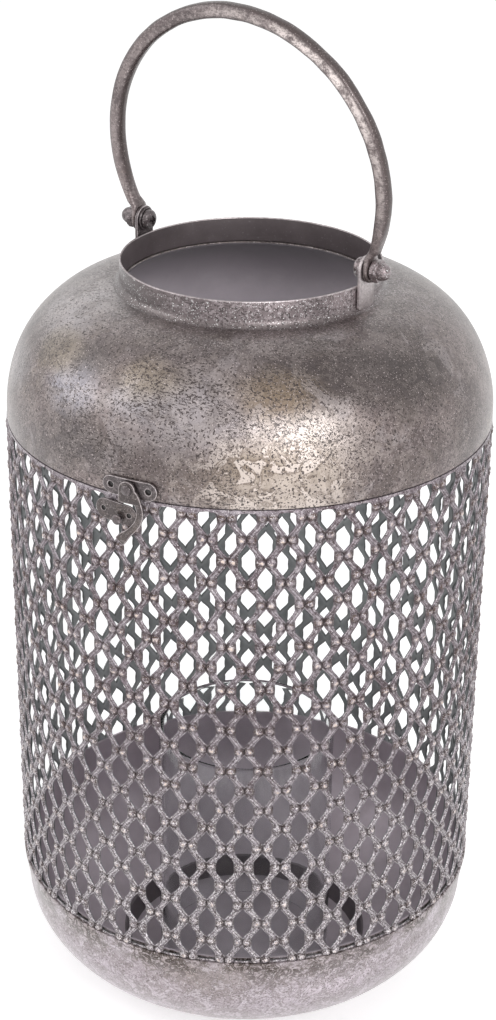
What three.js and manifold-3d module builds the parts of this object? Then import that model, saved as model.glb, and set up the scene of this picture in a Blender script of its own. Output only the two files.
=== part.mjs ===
import * as THREE from 'three';
import { mergeVertices } from 'three/addons/utils/BufferGeometryUtils.js';
import Module from 'manifold-3d';

const wasm = await Module();
wasm.setup();

// Lengths are millimetres. +Z is up, the lantern stands on Z = 0, and the latch faces -Y.

// Openwork body
const bodyRadius = 125;
const bodyHeight = 257.8;
const strandDepth = 1.8;
const columns = 36;
const holeRows = 18;
const holeWidth = 12.6;
const strandNeck = 4.4;
const topBorder = 1.9;
const bottomBorder = 1.2;

// Bowl
const sheet = 1.2;
const bowlHeight = 81;
const bowlWallHeight = 13.6;
const bowlWallDraft = 2.5;
const bowlFloorRadius = 20;
const bowlFloorRise = 5;
const bowlRoundness = 2.2;
const wellRadius = 67.5;
const wellDraft = 1.6;
const wellLip = 1.8;
const wellCorner = 1.2;
const rimStepHeight = 2.5;

// Lid
const domeEdgeInset = 1;
const domeHeight = 67.1;
const domeSkirt = 4.1;
const domeRoundness = 2.08;
const collarRadius = 65.7;
const collarSheet = 1;
const collarHeight = 12.7;
const mouthLedge = 1.2;

// Handle and the bolts it swings on
const handleTurn = -8;
const handleLean = 8;
const archRadius = 78;
const archRise = 39.8;
const archSweep = 112.5;
const rodWidth = 7.6;
const rodDepth = 6.6;
const rodEndShare = 0.7;
const flatWidth = 10;
const eyeRadius = 6.5;
const eyeThickness = 2.8;
const earWidth = 13.4;
const earThickness = 1.6;
const earCorner = 1.5;
const boltAboveRim = 7.5;
const boltRadius = 2.5;
const headRadius = 5;
const headThickness = 3.6;
const headRim = 1.2;
const recessLength = 5;
const recessWidth = 1.3;
const recessDepth = 1.6;
const washerRadius = 5.8;
const washerThickness = 1;
const nutAcross = 10;
const nutThickness = 4;
const nutCapRadius = 4.3;
const nutCapHeight = 5;
const boltEndInCap = 1.6;

// Latch
const latchLength = 28.7;
const latchHeight = 9.3;
const latchSheet = 1.4;
const latchHoleSpread = 19.8;
const latchHoleRadius = 1.6;
const latchAboveEdge = 0.3;
const hookThickness = 1.4;
const hookHeadRadius = 4.3;
const hookTabWidth = 9.4;
const hookTabDrop = 6.8;
const hookReach = 8.5;
const hookDrop = 20.7;
const hookBand = 3.5;
const hookTailReach = 4.4;
const hookTailDrop = 6.7;
const hookTailWidth = 5.4;
const rivetRadius = 1.5;
const rivetHeadRadius = 2.6;
const rivetHeadThickness = 1.1;
const rivetShoulderRadius = 2.1;
const catchLength = 22.5;
const catchHeight = 10.3;
const catchSheet = 1;
const catchTilt = -4;
const catchSide = -6.9;
const catchDrop = 8.4;
const catchHoleSpread = 14;
const catchHoleRadius = 1.3;
const catchPinSide = 2;
const catchPinDrop = 2.5;
const catchPinRadius = 1.4;
const catchHeadRadius = 2.6;
const catchHeadThickness = 1.4;

// Lid hinge
const leafWidth = 27;
const leafHeight = 14;
const leafSheet = 1.2;
const leafCorner = 3;
const leafHoleSpread = 16;
const knuckleRadius = 2.3;
const hingePinRadius = 1.2;
const hingePinHead = 0.6;
const hingePinHeadRadius = 1.9;

// Glass chimney
const glassRadius = 48.5;
const glassWall = 2.5;
const glassHeight = 148;

// Clearances
const seatGap = 0.3;
const runGap = 0.3;
const restGap = 0.2;

// How far a cutting form runs past the face that it cuts
const cutPast = 6;

// Facets around turned forms, and along bent ones
const bigSides = columns;
const glassSides = 24;
const smallSides = 10;
const plateSides = 60;
const arcSides = 5;
const eyeSides = 14;
const rodSides = 8;
const archSteps = 16;
const hookSteps = 14;
const crownSteps = 3;
const bowlSteps = 7;
const domeSteps = 5;

// Places that follow from the sizes above
const bodyBottom = bowlHeight + seatGap;
const bodyTop = bodyBottom + bodyHeight;
const domeRadius = bodyRadius - domeEdgeInset;
const domeBottom = bodyTop + seatGap;
const domeTop = domeBottom + domeHeight;
const collarBottom = domeTop + seatGap;
const collarTop = collarBottom + collarHeight;
const mouthRadius = collarRadius - collarSheet - mouthLedge;
const boltHeight = collarTop + boltAboveRim;
const earInner = collarRadius + seatGap;
const earOuter = earInner + earThickness;
const eyeInner = earOuter + runGap;
const eyeOuter = eyeInner + eyeThickness;
const nutInner = eyeOuter + runGap;
const washerOuter = earInner - seatGap;
const headOuter = washerOuter - washerThickness - seatGap;
const boltEnd = nutInner + nutThickness + boltEndInCap;
const latchFace = domeRadius + seatGap;
const catchFace = bodyRadius + seatGap;
const hookFace = Math.max(catchFace + catchSheet, latchFace + latchSheet) + runGap;
const pivotHeight = domeBottom + latchAboveEdge + latchHeight / 2;
const hingeOffset = bodyRadius + seatGap + leafSheet + runGap + hingePinRadius;
const hingeHeight = (bodyTop + domeBottom) / 2;
const wellFloor = sheet;
const glassBottom = wellFloor + restGap;

// Forms

function weld(geometry) {
  geometry.deleteAttribute('normal');
  geometry.deleteAttribute('uv');
  const merged = mergeVertices(geometry, 1e-4);
  const index = merged.index.array;
  const kept = [];
  for (let i = 0; i < index.length; i += 3) {
    const [a, b, c] = [index[i], index[i + 1], index[i + 2]];
    if (a !== b && b !== c && c !== a) kept.push(a, b, c);
  }
  merged.setIndex(kept);
  return merged;
}

// A closed outline of [radius, height] points, outer side upwards, turned about Z
function revolve(outline, sides) {
  const points = outline.map(([r, z]) => new THREE.Vector2(r, z));
  const geometry = new THREE.LatheGeometry(points, sides);
  geometry.rotateX(Math.PI / 2);
  return weld(geometry);
}

function ring(innerRadius, outerRadius, bottom, top, sides) {
  return revolve([
    [innerRadius, bottom], [outerRadius, bottom], [outerRadius, top], [innerRadius, top],
    [innerRadius, bottom],
  ], sides);
}

function disc(radius, bottom, top, sides) {
  return revolve([[0, bottom], [radius, bottom], [radius, top], [0, top]], sides);
}

// Skins a row of equal point rings and closes both ends
function loft(rings) {
  const count = rings[0].length;
  const positions = rings.flat().flatMap((p) => [p.x, p.y, p.z]);
  const faces = [];
  for (let i = 0; i + 1 < rings.length; i++) {
    for (let j = 0; j < count; j++) {
      const k = (j + 1) % count;
      const [a, b, c, d] = [i * count + j, i * count + k, (i + 1) * count + k, (i + 1) * count + j];
      faces.push(a, b, c, a, c, d);
    }
  }
  const last = (rings.length - 1) * count;
  for (let j = 1; j + 1 < count; j++) {
    faces.push(0, j + 1, j);
    faces.push(last, last + j, last + j + 1);
  }
  const geometry = new THREE.BufferGeometry();
  geometry.setAttribute('position', new THREE.Float32BufferAttribute(positions, 3));
  geometry.setIndex(faces);
  return geometry;
}

// A flat shape drawn in X and Z, its outer face at y = -near and its inner face at y = -far
function uprightPlate(shape, far, near) {
  const geometry = new THREE.ExtrudeGeometry(shape, {
    depth: near - far, bevelEnabled: false, curveSegments: arcSides,
  });
  geometry.rotateX(Math.PI / 2);
  geometry.translate(0, -far, 0);
  return weld(geometry);
}

function toSolid(geometry) {
  return new wasm.Manifold(new wasm.Mesh({
    numProp: 3,
    vertProperties: new Float32Array(geometry.attributes.position.array),
    triVerts: new Uint32Array(geometry.index.array),
  }));
}

function toGeometry(solid) {
  const mesh = solid.getMesh();
  const geometry = new THREE.BufferGeometry();
  geometry.setAttribute('position', new THREE.BufferAttribute(new Float32Array(mesh.vertProperties), 3));
  geometry.setIndex(new THREE.BufferAttribute(new Uint32Array(mesh.triVerts), 1));
  return geometry;
}

function join(...geometries) {
  return toGeometry(geometries.map(toSolid).reduce((sum, next) => sum.add(next)));
}

function cut(geometry, ...tools) {
  return toGeometry(tools.map(toSolid).reduce((left, tool) => left.subtract(tool), toSolid(geometry)));
}

function common(geometry, other) {
  return toGeometry(toSolid(geometry).intersect(toSolid(other)));
}

// A rod along X between two places, standing on the bolt axis
function rodAlongX(radius, from, to, sides) {
  return disc(radius, from, to, sides).rotateY(Math.PI / 2);
}

function box(width, depth, height) {
  return weld(new THREE.BoxGeometry(width, depth, height));
}

function stadium(length, height) {
  const half = length / 2 - height / 2;
  const shape = new THREE.Shape();
  shape.absarc(half, 0, height / 2, -Math.PI / 2, Math.PI / 2);
  shape.absarc(-half, 0, height / 2, Math.PI / 2, 1.5 * Math.PI);
  return shape;
}

function roundHole(x, z, radius) {
  const hole = new THREE.Path();
  hole.absarc(x, z, radius, 0, 2 * Math.PI, true);
  return hole;
}

// Bends a plate outline to the round wall: the part of a thin ring seen through the outline
function curvedPlate(shape, face, thickness, height, tilt = 0, side = 0) {
  const prism = uprightPlate(shape, face - cutPast, face + cutPast);
  prism.translate(0, face, 0);
  prism.rotateY(THREE.MathUtils.degToRad(-tilt));
  prism.translate(0, -face, 0);
  prism.rotateZ(side / face);
  prism.translate(0, 0, height);
  const half = latchLength / 2 + cutPast;
  return common(prism, ring(face, face + thickness, height - half, height + half, plateSides));
}

// Quarter of a rounded-square curve from the wall towards the axis
function shoulder(steps, width, height, roundness) {
  const points = [];
  for (let i = 0; i <= steps; i++) {
    const angle = (Math.PI / 2) * (i / steps);
    points.push([
      width * Math.cos(angle) ** (2 / roundness),
      height * Math.sin(angle) ** (2 / roundness),
    ]);
  }
  points[steps][0] = 0;
  return points;
}

// Quarter of an ellipse from a rim at its base to a crown on the axis
function crown(radius, base, height) {
  const points = [];
  for (let i = 0; i < crownSteps; i++) {
    const angle = (Math.PI / 2) * (i / crownSteps);
    points.push([radius * Math.cos(angle), base + height * Math.sin(angle)]);
  }
  return [...points, [0, base + height]];
}

// Pieces

// The bowl's pressed curve, for its outer face or, with an inset, its inner face
function bowlCurve(inset) {
  const top = bowlHeight - bowlWallHeight;
  const width = bodyRadius - bowlWallDraft - bowlFloorRadius - inset;
  const height = top - bowlFloorRise - inset;
  const wellEdge = wellRadius + sheet + wellLip;
  return shoulder(bowlSteps, width, height, bowlRoundness)
    .map(([r, z]) => [bowlFloorRadius + r, top - z])
    .filter(([r]) => r > wellEdge + 2 * sheet);
}

function bowlCurveHeightAt(radius, inset) {
  const top = bowlHeight - bowlWallHeight;
  const width = bodyRadius - bowlWallDraft - bowlFloorRadius - inset;
  const height = top - bowlFloorRise - inset;
  const share = ((radius - bowlFloorRadius) / width) ** (bowlRoundness / 2);
  return top - height * Math.sqrt(1 - share ** 2) ** (2 / bowlRoundness);
}

// Pressed in one with its well, and turned so that its corners meet those of the openwork's foot
function baseBowl() {
  const stepRadius = bodyRadius - strandDepth - seatGap;
  const lip = wellRadius + wellLip;
  const lipHeight = bowlCurveHeightAt(lip + sheet, 0);
  const outer = bowlCurve(0).reverse();
  const inner = bowlCurve(sheet);
  return revolve([
    [0, 0],
    [wellRadius + sheet - wellDraft - wellCorner, 0],
    [wellRadius + sheet - wellDraft, wellCorner],
    [wellRadius + sheet, lipHeight - wellLip / 2],
    [lip + sheet, lipHeight],
    ...outer,
    [bodyRadius, bowlHeight],
    [stepRadius, bowlHeight],
    [stepRadius, bowlHeight + rimStepHeight],
    [stepRadius - sheet, bowlHeight + rimStepHeight],
    [stepRadius - sheet, bowlHeight - sheet],
    [bodyRadius - sheet - bowlWallDraft / 4, bowlHeight - 2 * sheet],
    ...inner,
    [lip, bowlCurveHeightAt(lip, sheet)],
    [wellRadius, bowlCurveHeightAt(lip, sheet) - wellLip],
    [wellRadius - wellDraft, wellFloor],
    [0, wellFloor],
  ], bigSides).rotateZ(Math.PI / columns);
}

// The sheet of linked diamonds. Every strand is a ridge between two crossings, with its
// foot along the edges of the two holes beside it, and the inside face is left smooth.
function openworkBody() {
  const outerRadius = bodyRadius;
  const innerRadius = bodyRadius - strandDepth;
  const positions = [];
  const faces = [];
  const named = new Map();
  const pitch = (2 * Math.PI) / columns;
  const halfTop = bodyTop - topBorder;
  const halfBottom = bodyBottom + bottomBorder;
  const rowPitch = (halfTop - halfBottom) / (holeRows + 1);
  const halfHoleHeight = rowPitch - strandNeck / 2;
  const halfHoleAngle = holeWidth / 2 / outerRadius;

  // Rows 0 and holeRows + 1 are the half holes against the two borders
  const rowHeight = (row) => halfBottom + row * rowPitch;
  const holeAngle = (row, column) => (column + (row % 2) / 2) * pitch;

  function vertex(name, radius, angle, z) {
    if (!named.has(name)) {
      named.set(name, positions.length / 3);
      positions.push(radius * Math.cos(angle), radius * Math.sin(angle), z);
    }
    return named.get(name);
  }
  const wrapped = (column) => (column + columns) % columns;

  // Hole corners lie on the inside face
  function corner(row, column, where) {
    const c = wrapped(column);
    const angle = holeAngle(row, c);
    const z = rowHeight(row);
    const name = `hole ${row} ${c} ${where}`;
    if (where === 'left') return vertex(name, innerRadius, angle - halfHoleAngle, z);
    if (where === 'right') return vertex(name, innerRadius, angle + halfHoleAngle, z);
    const rise = where === 'top' ? halfHoleHeight : -halfHoleHeight;
    return vertex(name, innerRadius, angle, z + rise);
  }

  // A crossing stands half a column to the right of the hole with its row and column
  function crossing(row, column) {
    const c = wrapped(column);
    const angle = holeAngle(row, c) + pitch / 2;
    if (row === 0) return vertex(`bottom edge out ${c}`, outerRadius, angle, bodyBottom);
    if (row === holeRows + 1) return vertex(`top edge out ${c}`, outerRadius, angle, bodyTop);
    return vertex(`crossing ${row} ${c}`, outerRadius, angle, rowHeight(row));
  }
  function edgeInside(row, column) {
    const c = wrapped(column);
    const angle = holeAngle(row, c) + pitch / 2;
    if (row === 0) return vertex(`bottom edge in ${c}`, innerRadius, angle, bodyBottom);
    return vertex(`top edge in ${c}`, innerRadius, angle, bodyTop);
  }
  const quad = (a, b, c, d) => faces.push(a, b, c, a, c, d);

  for (let row = 0; row <= holeRows; row++) {
    // Columns of the row above stand half a pitch right of an even row, and left of an odd one
    const shift = row % 2;
    for (let column = 0; column < columns; column++) {
      // Strand rising from this crossing to the right, between hole R beside it and hole A above it
      const start = crossing(row, column);
      const upRight = crossing(row + 1, column + shift);
      const upLeft = crossing(row + 1, column + shift - 1);
      const above = [row + 1, column + shift];
      const rightHole = [row, column + 1];
      const leftHole = [row, column];
      quad(start, corner(...rightHole, 'left'), corner(...rightHole, 'top'), upRight);
      quad(start, upRight, corner(...above, 'right'), corner(...above, 'bottom'));
      quad(corner(...rightHole, 'left'), corner(...above, 'bottom'),
        corner(...above, 'right'), corner(...rightHole, 'top'));
      // Strand rising to the left, the mirror of the other
      quad(start, upLeft, corner(...leftHole, 'top'), corner(...leftHole, 'right'));
      quad(start, corner(...above, 'bottom'), corner(...above, 'left'), upLeft);
      quad(corner(...leftHole, 'right'), corner(...leftHole, 'top'),
        corner(...above, 'left'), corner(...above, 'bottom'));
      // Inside face of the crossing
      if (row > 0) {
        quad(corner(row, column, 'right'), corner(row + 1, column + shift, 'bottom'),
          corner(row, column + 1, 'left'), corner(row - 1, column + shift, 'top'));
      }
    }
  }

  // Flat borders at the bottom and the top
  for (const row of [0, holeRows + 1]) {
    const flip = row === 0;
    const face = (a, b, c) => (flip ? faces.push(a, c, b) : faces.push(a, b, c));
    for (let column = 0; column < columns; column++) {
      const [outA, outB] = [crossing(row, column), crossing(row, column + 1)];
      const [inA, inB] = [edgeInside(row, column), edgeInside(row, column + 1)];
      const left = corner(row, column + 1, 'left');
      const right = corner(row, column + 1, 'right');
      face(outA, left, right);
      face(outA, right, outB);
      face(inA, right, left);
      face(inA, inB, right);
      face(outA, outB, inB);
      face(outA, inB, inA);
      const before = corner(row, column, 'right');
      const tip = flip
        ? corner(1, column, 'bottom')
        : corner(holeRows, column + (row % 2), 'top');
      face(inA, left, before);
      face(before, left, tip);
    }
  }
  const geometry = new THREE.BufferGeometry();
  geometry.setAttribute('position', new THREE.Float32BufferAttribute(positions, 3));
  geometry.setIndex(faces);
  return geometry;
}

function lidDome() {
  const rise = domeHeight - domeSkirt;
  const run = domeRadius - collarRadius;
  const outer = shoulder(domeSteps, run, rise, domeRoundness)
    .map(([r, z]) => [collarRadius + r, domeBottom + domeSkirt + z]);
  const inner = shoulder(domeSteps, run - sheet, rise - sheet, domeRoundness)
    .map(([r, z]) => [collarRadius + r, domeBottom + domeSkirt + z]).reverse();
  return revolve([
    [domeRadius - sheet, domeBottom],
    [domeRadius, domeBottom],
    ...outer,
    [mouthRadius, domeTop],
    [mouthRadius, domeTop - sheet],
    ...inner,
    [domeRadius - sheet, domeBottom],
  ], bigSides);
}

function collar() {
  return ring(collarRadius - collarSheet, collarRadius, collarBottom, collarTop, bigSides);
}

// Pieces on the bolt axis are made along +X and then turned to their own end of it
function ear() {
  const half = earWidth / 2;
  const foot = collarBottom + seatGap - boltHeight;
  const shape = new THREE.Shape();
  shape.moveTo(-half + earCorner, foot);
  shape.lineTo(half - earCorner, foot);
  shape.lineTo(half, foot + earCorner);
  shape.absarc(0, 0, half, 0, Math.PI);
  shape.lineTo(-half, foot + earCorner);
  shape.closePath();
  shape.holes.push(roundHole(0, 0, boltRadius + runGap));
  return uprightPlate(shape, earInner, earOuter).rotateZ(Math.PI / 2);
}

// Round head inside the collar, with a cross recess, and a shank out to the nut
function bolt() {
  const head = revolve([
    ...crown(headRadius, headOuter - headRim, headRim - headThickness).reverse(),
    [headRadius, headOuter],
    [boltRadius, headOuter],
    [boltRadius, boltEnd],
    [0, boltEnd],
  ], smallSides).rotateY(Math.PI / 2);
  const slot = box(2 * recessDepth, recessLength, recessWidth);
  slot.translate(headOuter - headThickness, 0, 0);
  const crossSlot = box(2 * recessDepth, recessWidth, recessLength);
  crossSlot.translate(headOuter - headThickness, 0, 0);
  return cut(head, join(slot, crossSlot));
}

function washer() {
  return ring(boltRadius + runGap, washerRadius, washerOuter - washerThickness, washerOuter, smallSides)
    .rotateY(Math.PI / 2);
}

// A hexagon with a closed dome on its outer side and a blind bore
function acornNut() {
  const corner = nutAcross / 2 / Math.cos(Math.PI / 6);
  const hex = disc(corner, nutInner, nutInner + nutThickness, 6).rotateY(Math.PI / 2);
  const middle = nutInner + nutThickness / 2;
  const capBase = nutInner + nutThickness + nutCapHeight - nutCapRadius;
  const cap = revolve([
    [0, middle],
    [nutCapRadius, middle],
    ...crown(nutCapRadius, capBase, nutCapRadius),
  ], smallSides).rotateY(Math.PI / 2);
  const bore = rodAlongX(boltRadius + seatGap, nutInner - cutPast, boltEnd + seatGap, smallSides);
  return cut(join(hex, cap), bore);
}

// Oval rod bent to more than half a circle, its two ends hammered flat into eyes
function handle() {
  const eyeCentre = (eyeInner + eyeOuter) / 2;
  const stations = [];
  for (let i = 0; i <= archSteps; i++) {
    const angle = THREE.MathUtils.degToRad(archSweep * (1 - (2 * i) / archSteps));
    stations.push({
      along: archRadius * Math.sin(angle),
      up: archRise + archRadius * Math.cos(angle),
      outward: angle,
      inPlane: rodWidth / 2,
      across: rodDepth / 2,
    });
  }
  const flat = (side, up) => ({
    along: side * eyeCentre,
    up,
    outward: side * Math.PI / 2,
    inPlane: eyeThickness / 2,
    across: flatWidth / 2,
  });
  const clearOfNut = nutAcross / 2 / Math.cos(Math.PI / 6) + 2 * runGap;
  for (const end of [stations[0], stations[archSteps]]) end.inPlane *= rodEndShare;
  stations.unshift(flat(1, 0), flat(1, clearOfNut));
  stations.push(flat(-1, clearOfNut), flat(-1, 0));
  const rings = stations.map(({ along, up, outward, inPlane, across }) => {
    const points = [];
    for (let j = 0; j < rodSides; j++) {
      const turn = (2 * Math.PI * (j + 0.5)) / rodSides;
      const reach = (inPlane * Math.cos(turn)) / Math.cos(Math.PI / rodSides);
      points.push(new THREE.Vector3(
        along + reach * Math.sin(outward),
        (across * Math.sin(turn)) / Math.cos(Math.PI / rodSides),
        up + reach * Math.cos(outward),
      ));
    }
    return points;
  });
  const rod = loft(rings);
  const eye = rodAlongX(eyeRadius, eyeInner, eyeOuter, eyeSides);
  const bore = rodAlongX(boltRadius + runGap, eyeInner - cutPast, eyeOuter + cutPast, smallSides);
  const otherEye = rodAlongX(eyeRadius, -eyeOuter, -eyeInner, eyeSides);
  const otherBore = rodAlongX(boltRadius + runGap, -eyeOuter - cutPast, -eyeInner + cutPast, smallSides);
  return cut(join(rod, eye, otherEye), bore, otherBore)
    .rotateX(THREE.MathUtils.degToRad(handleLean));
}

function latchPlate() {
  const shape = stadium(latchLength, latchHeight);
  shape.holes.push(roundHole(-latchHoleSpread / 2, 0, latchHoleRadius));
  shape.holes.push(roundHole(latchHoleSpread / 2, 0, latchHoleRadius));
  shape.holes.push(roundHole(0, 0, rivetRadius + seatGap));
  return curvedPlate(shape, latchFace, latchSheet, pivotHeight);
}

// Round head under the rivet, a square tab below it, a crescent arm bulging to the right
// and a broad tail for the finger
function latchHook() {
  const bow = hookReach - hookBand / 2;
  const bend = new THREE.SplineCurve([
    new THREE.Vector2(0, 0),
    new THREE.Vector2(bow * 0.6, -hookDrop * 0.1),
    new THREE.Vector2(bow * 0.94, -hookDrop * 0.38),
    new THREE.Vector2(bow, -hookDrop * 0.57),
    new THREE.Vector2(bow * 0.78, -hookDrop * 0.79),
    new THREE.Vector2(bow * 0.27, -hookDrop),
    new THREE.Vector2(-hookTailReach * 0.41, -hookDrop - hookTailDrop * 0.54),
    new THREE.Vector2(-hookTailReach, -hookDrop - hookTailDrop),
  ]);
  const outer = [];
  const inner = [];
  for (let i = 1; i <= hookSteps; i++) {
    const share = i / hookSteps;
    const middle = bend.getPoint(share);
    const along = bend.getTangent(share);
    const flare = THREE.MathUtils.smoothstep(share, 0.7, 0.95);
    const half = THREE.MathUtils.lerp(hookBand / 2, hookTailWidth / 2, flare);
    outer.push(new THREE.Vector2(middle.x - along.y * half, middle.y + along.x * half));
    inner.push(new THREE.Vector2(middle.x + along.y * half, middle.y - along.x * half));
  }
  const near = hookFace + hookThickness;
  const arm = uprightPlate(new THREE.Shape([...inner, ...outer.reverse()]), hookFace, near);
  const tab = uprightPlate(new THREE.Shape([
    new THREE.Vector2(-hookHeadRadius, 0),
    new THREE.Vector2(-hookTabWidth / 2, -hookTabDrop),
    new THREE.Vector2(hookTabWidth / 2, -hookTabDrop),
    new THREE.Vector2(hookHeadRadius, 0),
  ]), hookFace, near);
  const head = disc(hookHeadRadius, hookFace, near, eyeSides).rotateX(Math.PI / 2);
  const hole = disc(rivetRadius + runGap, hookFace - cutPast, hookFace + cutPast, smallSides)
    .rotateX(Math.PI / 2);
  return cut(join(arm, tab, head), hole).translate(0, 0, pivotHeight);
}

// Shank through the plate, a shoulder that holds the hook off it, and a round head on the hook
function latchRivet() {
  const shoulderStart = latchFace + latchSheet + seatGap;
  const headFace = hookFace + hookThickness + runGap;
  return revolve([
    [0, latchFace + seatGap],
    [rivetRadius, latchFace + seatGap],
    [rivetRadius, shoulderStart],
    [rivetShoulderRadius, shoulderStart],
    [rivetShoulderRadius, hookFace - runGap],
    [rivetRadius, hookFace - runGap],
    [rivetRadius, headFace],
    ...crown(rivetHeadRadius, headFace, rivetHeadThickness),
  ], smallSides).rotateX(Math.PI / 2).translate(0, 0, pivotHeight);
}

function catchPlate() {
  const shape = stadium(catchLength, catchHeight);
  shape.holes.push(roundHole(-catchHoleSpread / 2, 0, catchHoleRadius));
  shape.holes.push(roundHole(catchHoleSpread / 2, 0, catchHoleRadius));
  shape.holes.push(roundHole(catchPinSide, -catchPinDrop, catchPinRadius + seatGap));
  return curvedPlate(shape, catchFace, catchSheet, domeBottom - catchDrop, catchTilt, catchSide);
}

// Shank that the hook closes on, with a head that keeps the hook from slipping off
function catchPin() {
  const start = catchFace + seatGap;
  const headFace = hookFace + hookThickness + runGap;
  return revolve([
    [0, start],
    [catchPinRadius, start],
    [catchPinRadius, headFace],
    ...crown(catchHeadRadius, headFace, catchHeadThickness),
  ], smallSides).rotateX(Math.PI / 2).translate(catchPinSide, 0, -catchPinDrop)
    .rotateY(THREE.MathUtils.degToRad(-catchTilt)).rotateZ(catchSide / catchFace)
    .translate(0, 0, domeBottom - catchDrop);
}

// Knuckles of one hinge leaf, each a tube on the hinge axis. First and last belong to the body.
function knuckles(places) {
  const length = leafWidth / 3 - runGap;
  return places.map((place) => {
    const tube = ring(hingePinRadius + seatGap, knuckleRadius, -length / 2, length / 2, smallSides);
    return tube.rotateY(Math.PI / 2).translate((place * leafWidth) / 3, hingeOffset, hingeHeight);
  });
}

// A leaf bent round the wall, with a short web from each of its knuckles
function hingeLeaf(face, side, places) {
  const outline = new THREE.Shape();
  const half = leafWidth / 2;
  const near = knuckleRadius + runGap;
  outline.moveTo(-half, near);
  outline.lineTo(half, near);
  outline.lineTo(half, leafHeight - leafCorner);
  outline.lineTo(half - leafCorner, leafHeight);
  outline.lineTo(-half + leafCorner, leafHeight);
  outline.lineTo(-half, leafHeight - leafCorner);
  outline.closePath();
  for (const x of [-leafHoleSpread / 2, leafHoleSpread / 2]) {
    outline.holes.push(roundHole(x, (near + leafHeight) / 2, latchHoleRadius));
  }
  const prism = uprightPlate(outline, face - cutPast, face + cutPast).rotateZ(Math.PI);
  if (side < 0) prism.rotateY(Math.PI);
  prism.translate(0, 0, hingeHeight);
  const sheetRing = ring(face, face + leafSheet, hingeHeight - leafHeight - cutPast,
    hingeHeight + leafHeight + cutPast, plateSides);
  const leaf = common(prism, sheetRing);
  const webInner = face + leafSheet / 4;
  const webOuter = hingeOffset + hingePinRadius / 2;
  const webTop = near + leafSheet;
  const webs = places.map((place) => {
    const web = box(leafWidth / 3 - runGap, webOuter - webInner, webTop - hingePinRadius);
    const middle = (webTop + hingePinRadius) / 2;
    return web.translate((place * leafWidth) / 3, (webInner + webOuter) / 2, hingeHeight + side * middle);
  });
  const bore = rodAlongX(hingePinRadius + seatGap, -leafWidth, leafWidth, smallSides);
  bore.translate(0, hingeOffset, hingeHeight);
  return cut(join(leaf, ...webs, ...knuckles(places)), bore);
}

function hingePin() {
  const half = leafWidth / 2 + seatGap;
  const end = half + hingePinHead;
  return revolve([
    [0, -end],
    [hingePinHeadRadius, -end],
    [hingePinHeadRadius, -half],
    [hingePinRadius, -half],
    [hingePinRadius, half],
    [hingePinHeadRadius, half],
    [hingePinHeadRadius, end],
    [0, end],
  ], smallSides).rotateY(Math.PI / 2).translate(0, hingeOffset, hingeHeight);
}

function glassChimney() {
  const inner = glassRadius - glassWall;
  const top = glassBottom + glassHeight;
  return ring(inner, glassRadius, glassBottom, top, glassSides);
}

// Assembly

const pewter = { color: 0x8d8582, roughness: 0.45, metalness: 0.85 };
const darkPewter = { color: 0x6c6462, roughness: 0.5, metalness: 0.85 };
const palePewter = { color: 0xa79e9b, roughness: 0.42, metalness: 0.8 };
const clearGlass = { color: 0xdfe8e6, roughness: 0.05, metalness: 0 };

const lantern = new THREE.Group();
lantern.name = 'lantern';

function add(name, geometry, finish) {
  const mesh = new THREE.Mesh(geometry, new THREE.MeshStandardMaterial({ name, ...finish }));
  mesh.name = name;
  lantern.add(mesh);
}

add('base_bowl', baseBowl(), palePewter);
add('openwork_body', openworkBody(), pewter);
add('glass_chimney', glassChimney(), clearGlass);
add('catch_plate', catchPlate(), darkPewter);
add('catch_pin', catchPin(), darkPewter);
add('hinge_leaf_body', hingeLeaf(bodyRadius + seatGap, -1, [-1, 1]), darkPewter);
add('hinge_pin', hingePin(), darkPewter);
add('hinge_leaf_lid', hingeLeaf(domeRadius + seatGap, 1, [0]), darkPewter);
add('lid_dome', lidDome(), pewter);
add('collar', collar(), darkPewter);
add('latch_plate', latchPlate(), darkPewter);
add('latch_rivet', latchRivet(), darkPewter);
add('latch_hook', latchHook(), darkPewter);

for (const [end, turn] of [['right', handleTurn], ['left', handleTurn + 180]]) {
  const place = (geometry) => geometry.rotateZ(THREE.MathUtils.degToRad(turn))
    .translate(0, 0, boltHeight);
  add(`ear_${end}`, place(ear()), darkPewter);
  add(`bolt_${end}`, place(bolt()), darkPewter);
  add(`washer_${end}`, place(washer()), darkPewter);
  add(`acorn_nut_${end}`, place(acornNut()), darkPewter);
}
add('handle', handle().rotateZ(THREE.MathUtils.degToRad(handleTurn)).translate(0, 0, boltHeight), pewter);

export default lantern;
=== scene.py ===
from math import atan2, cos, hypot, pi, radians, sin, sqrt

import bmesh
import bpy
import numpy as np
from mathutils import Matrix, Vector, noise


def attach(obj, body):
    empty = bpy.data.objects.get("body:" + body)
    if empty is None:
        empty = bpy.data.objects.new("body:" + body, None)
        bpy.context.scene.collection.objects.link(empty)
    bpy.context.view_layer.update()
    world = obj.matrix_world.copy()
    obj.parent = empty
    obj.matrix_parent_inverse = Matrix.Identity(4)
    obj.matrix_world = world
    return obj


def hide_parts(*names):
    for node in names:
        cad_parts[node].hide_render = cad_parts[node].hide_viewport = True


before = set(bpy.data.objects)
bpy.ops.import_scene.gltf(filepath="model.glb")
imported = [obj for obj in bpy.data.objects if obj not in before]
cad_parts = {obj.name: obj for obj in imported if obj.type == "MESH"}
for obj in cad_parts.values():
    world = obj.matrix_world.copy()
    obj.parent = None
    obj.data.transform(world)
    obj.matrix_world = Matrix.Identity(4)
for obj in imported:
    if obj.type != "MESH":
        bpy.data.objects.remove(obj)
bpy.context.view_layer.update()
mm = 0.001

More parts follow.
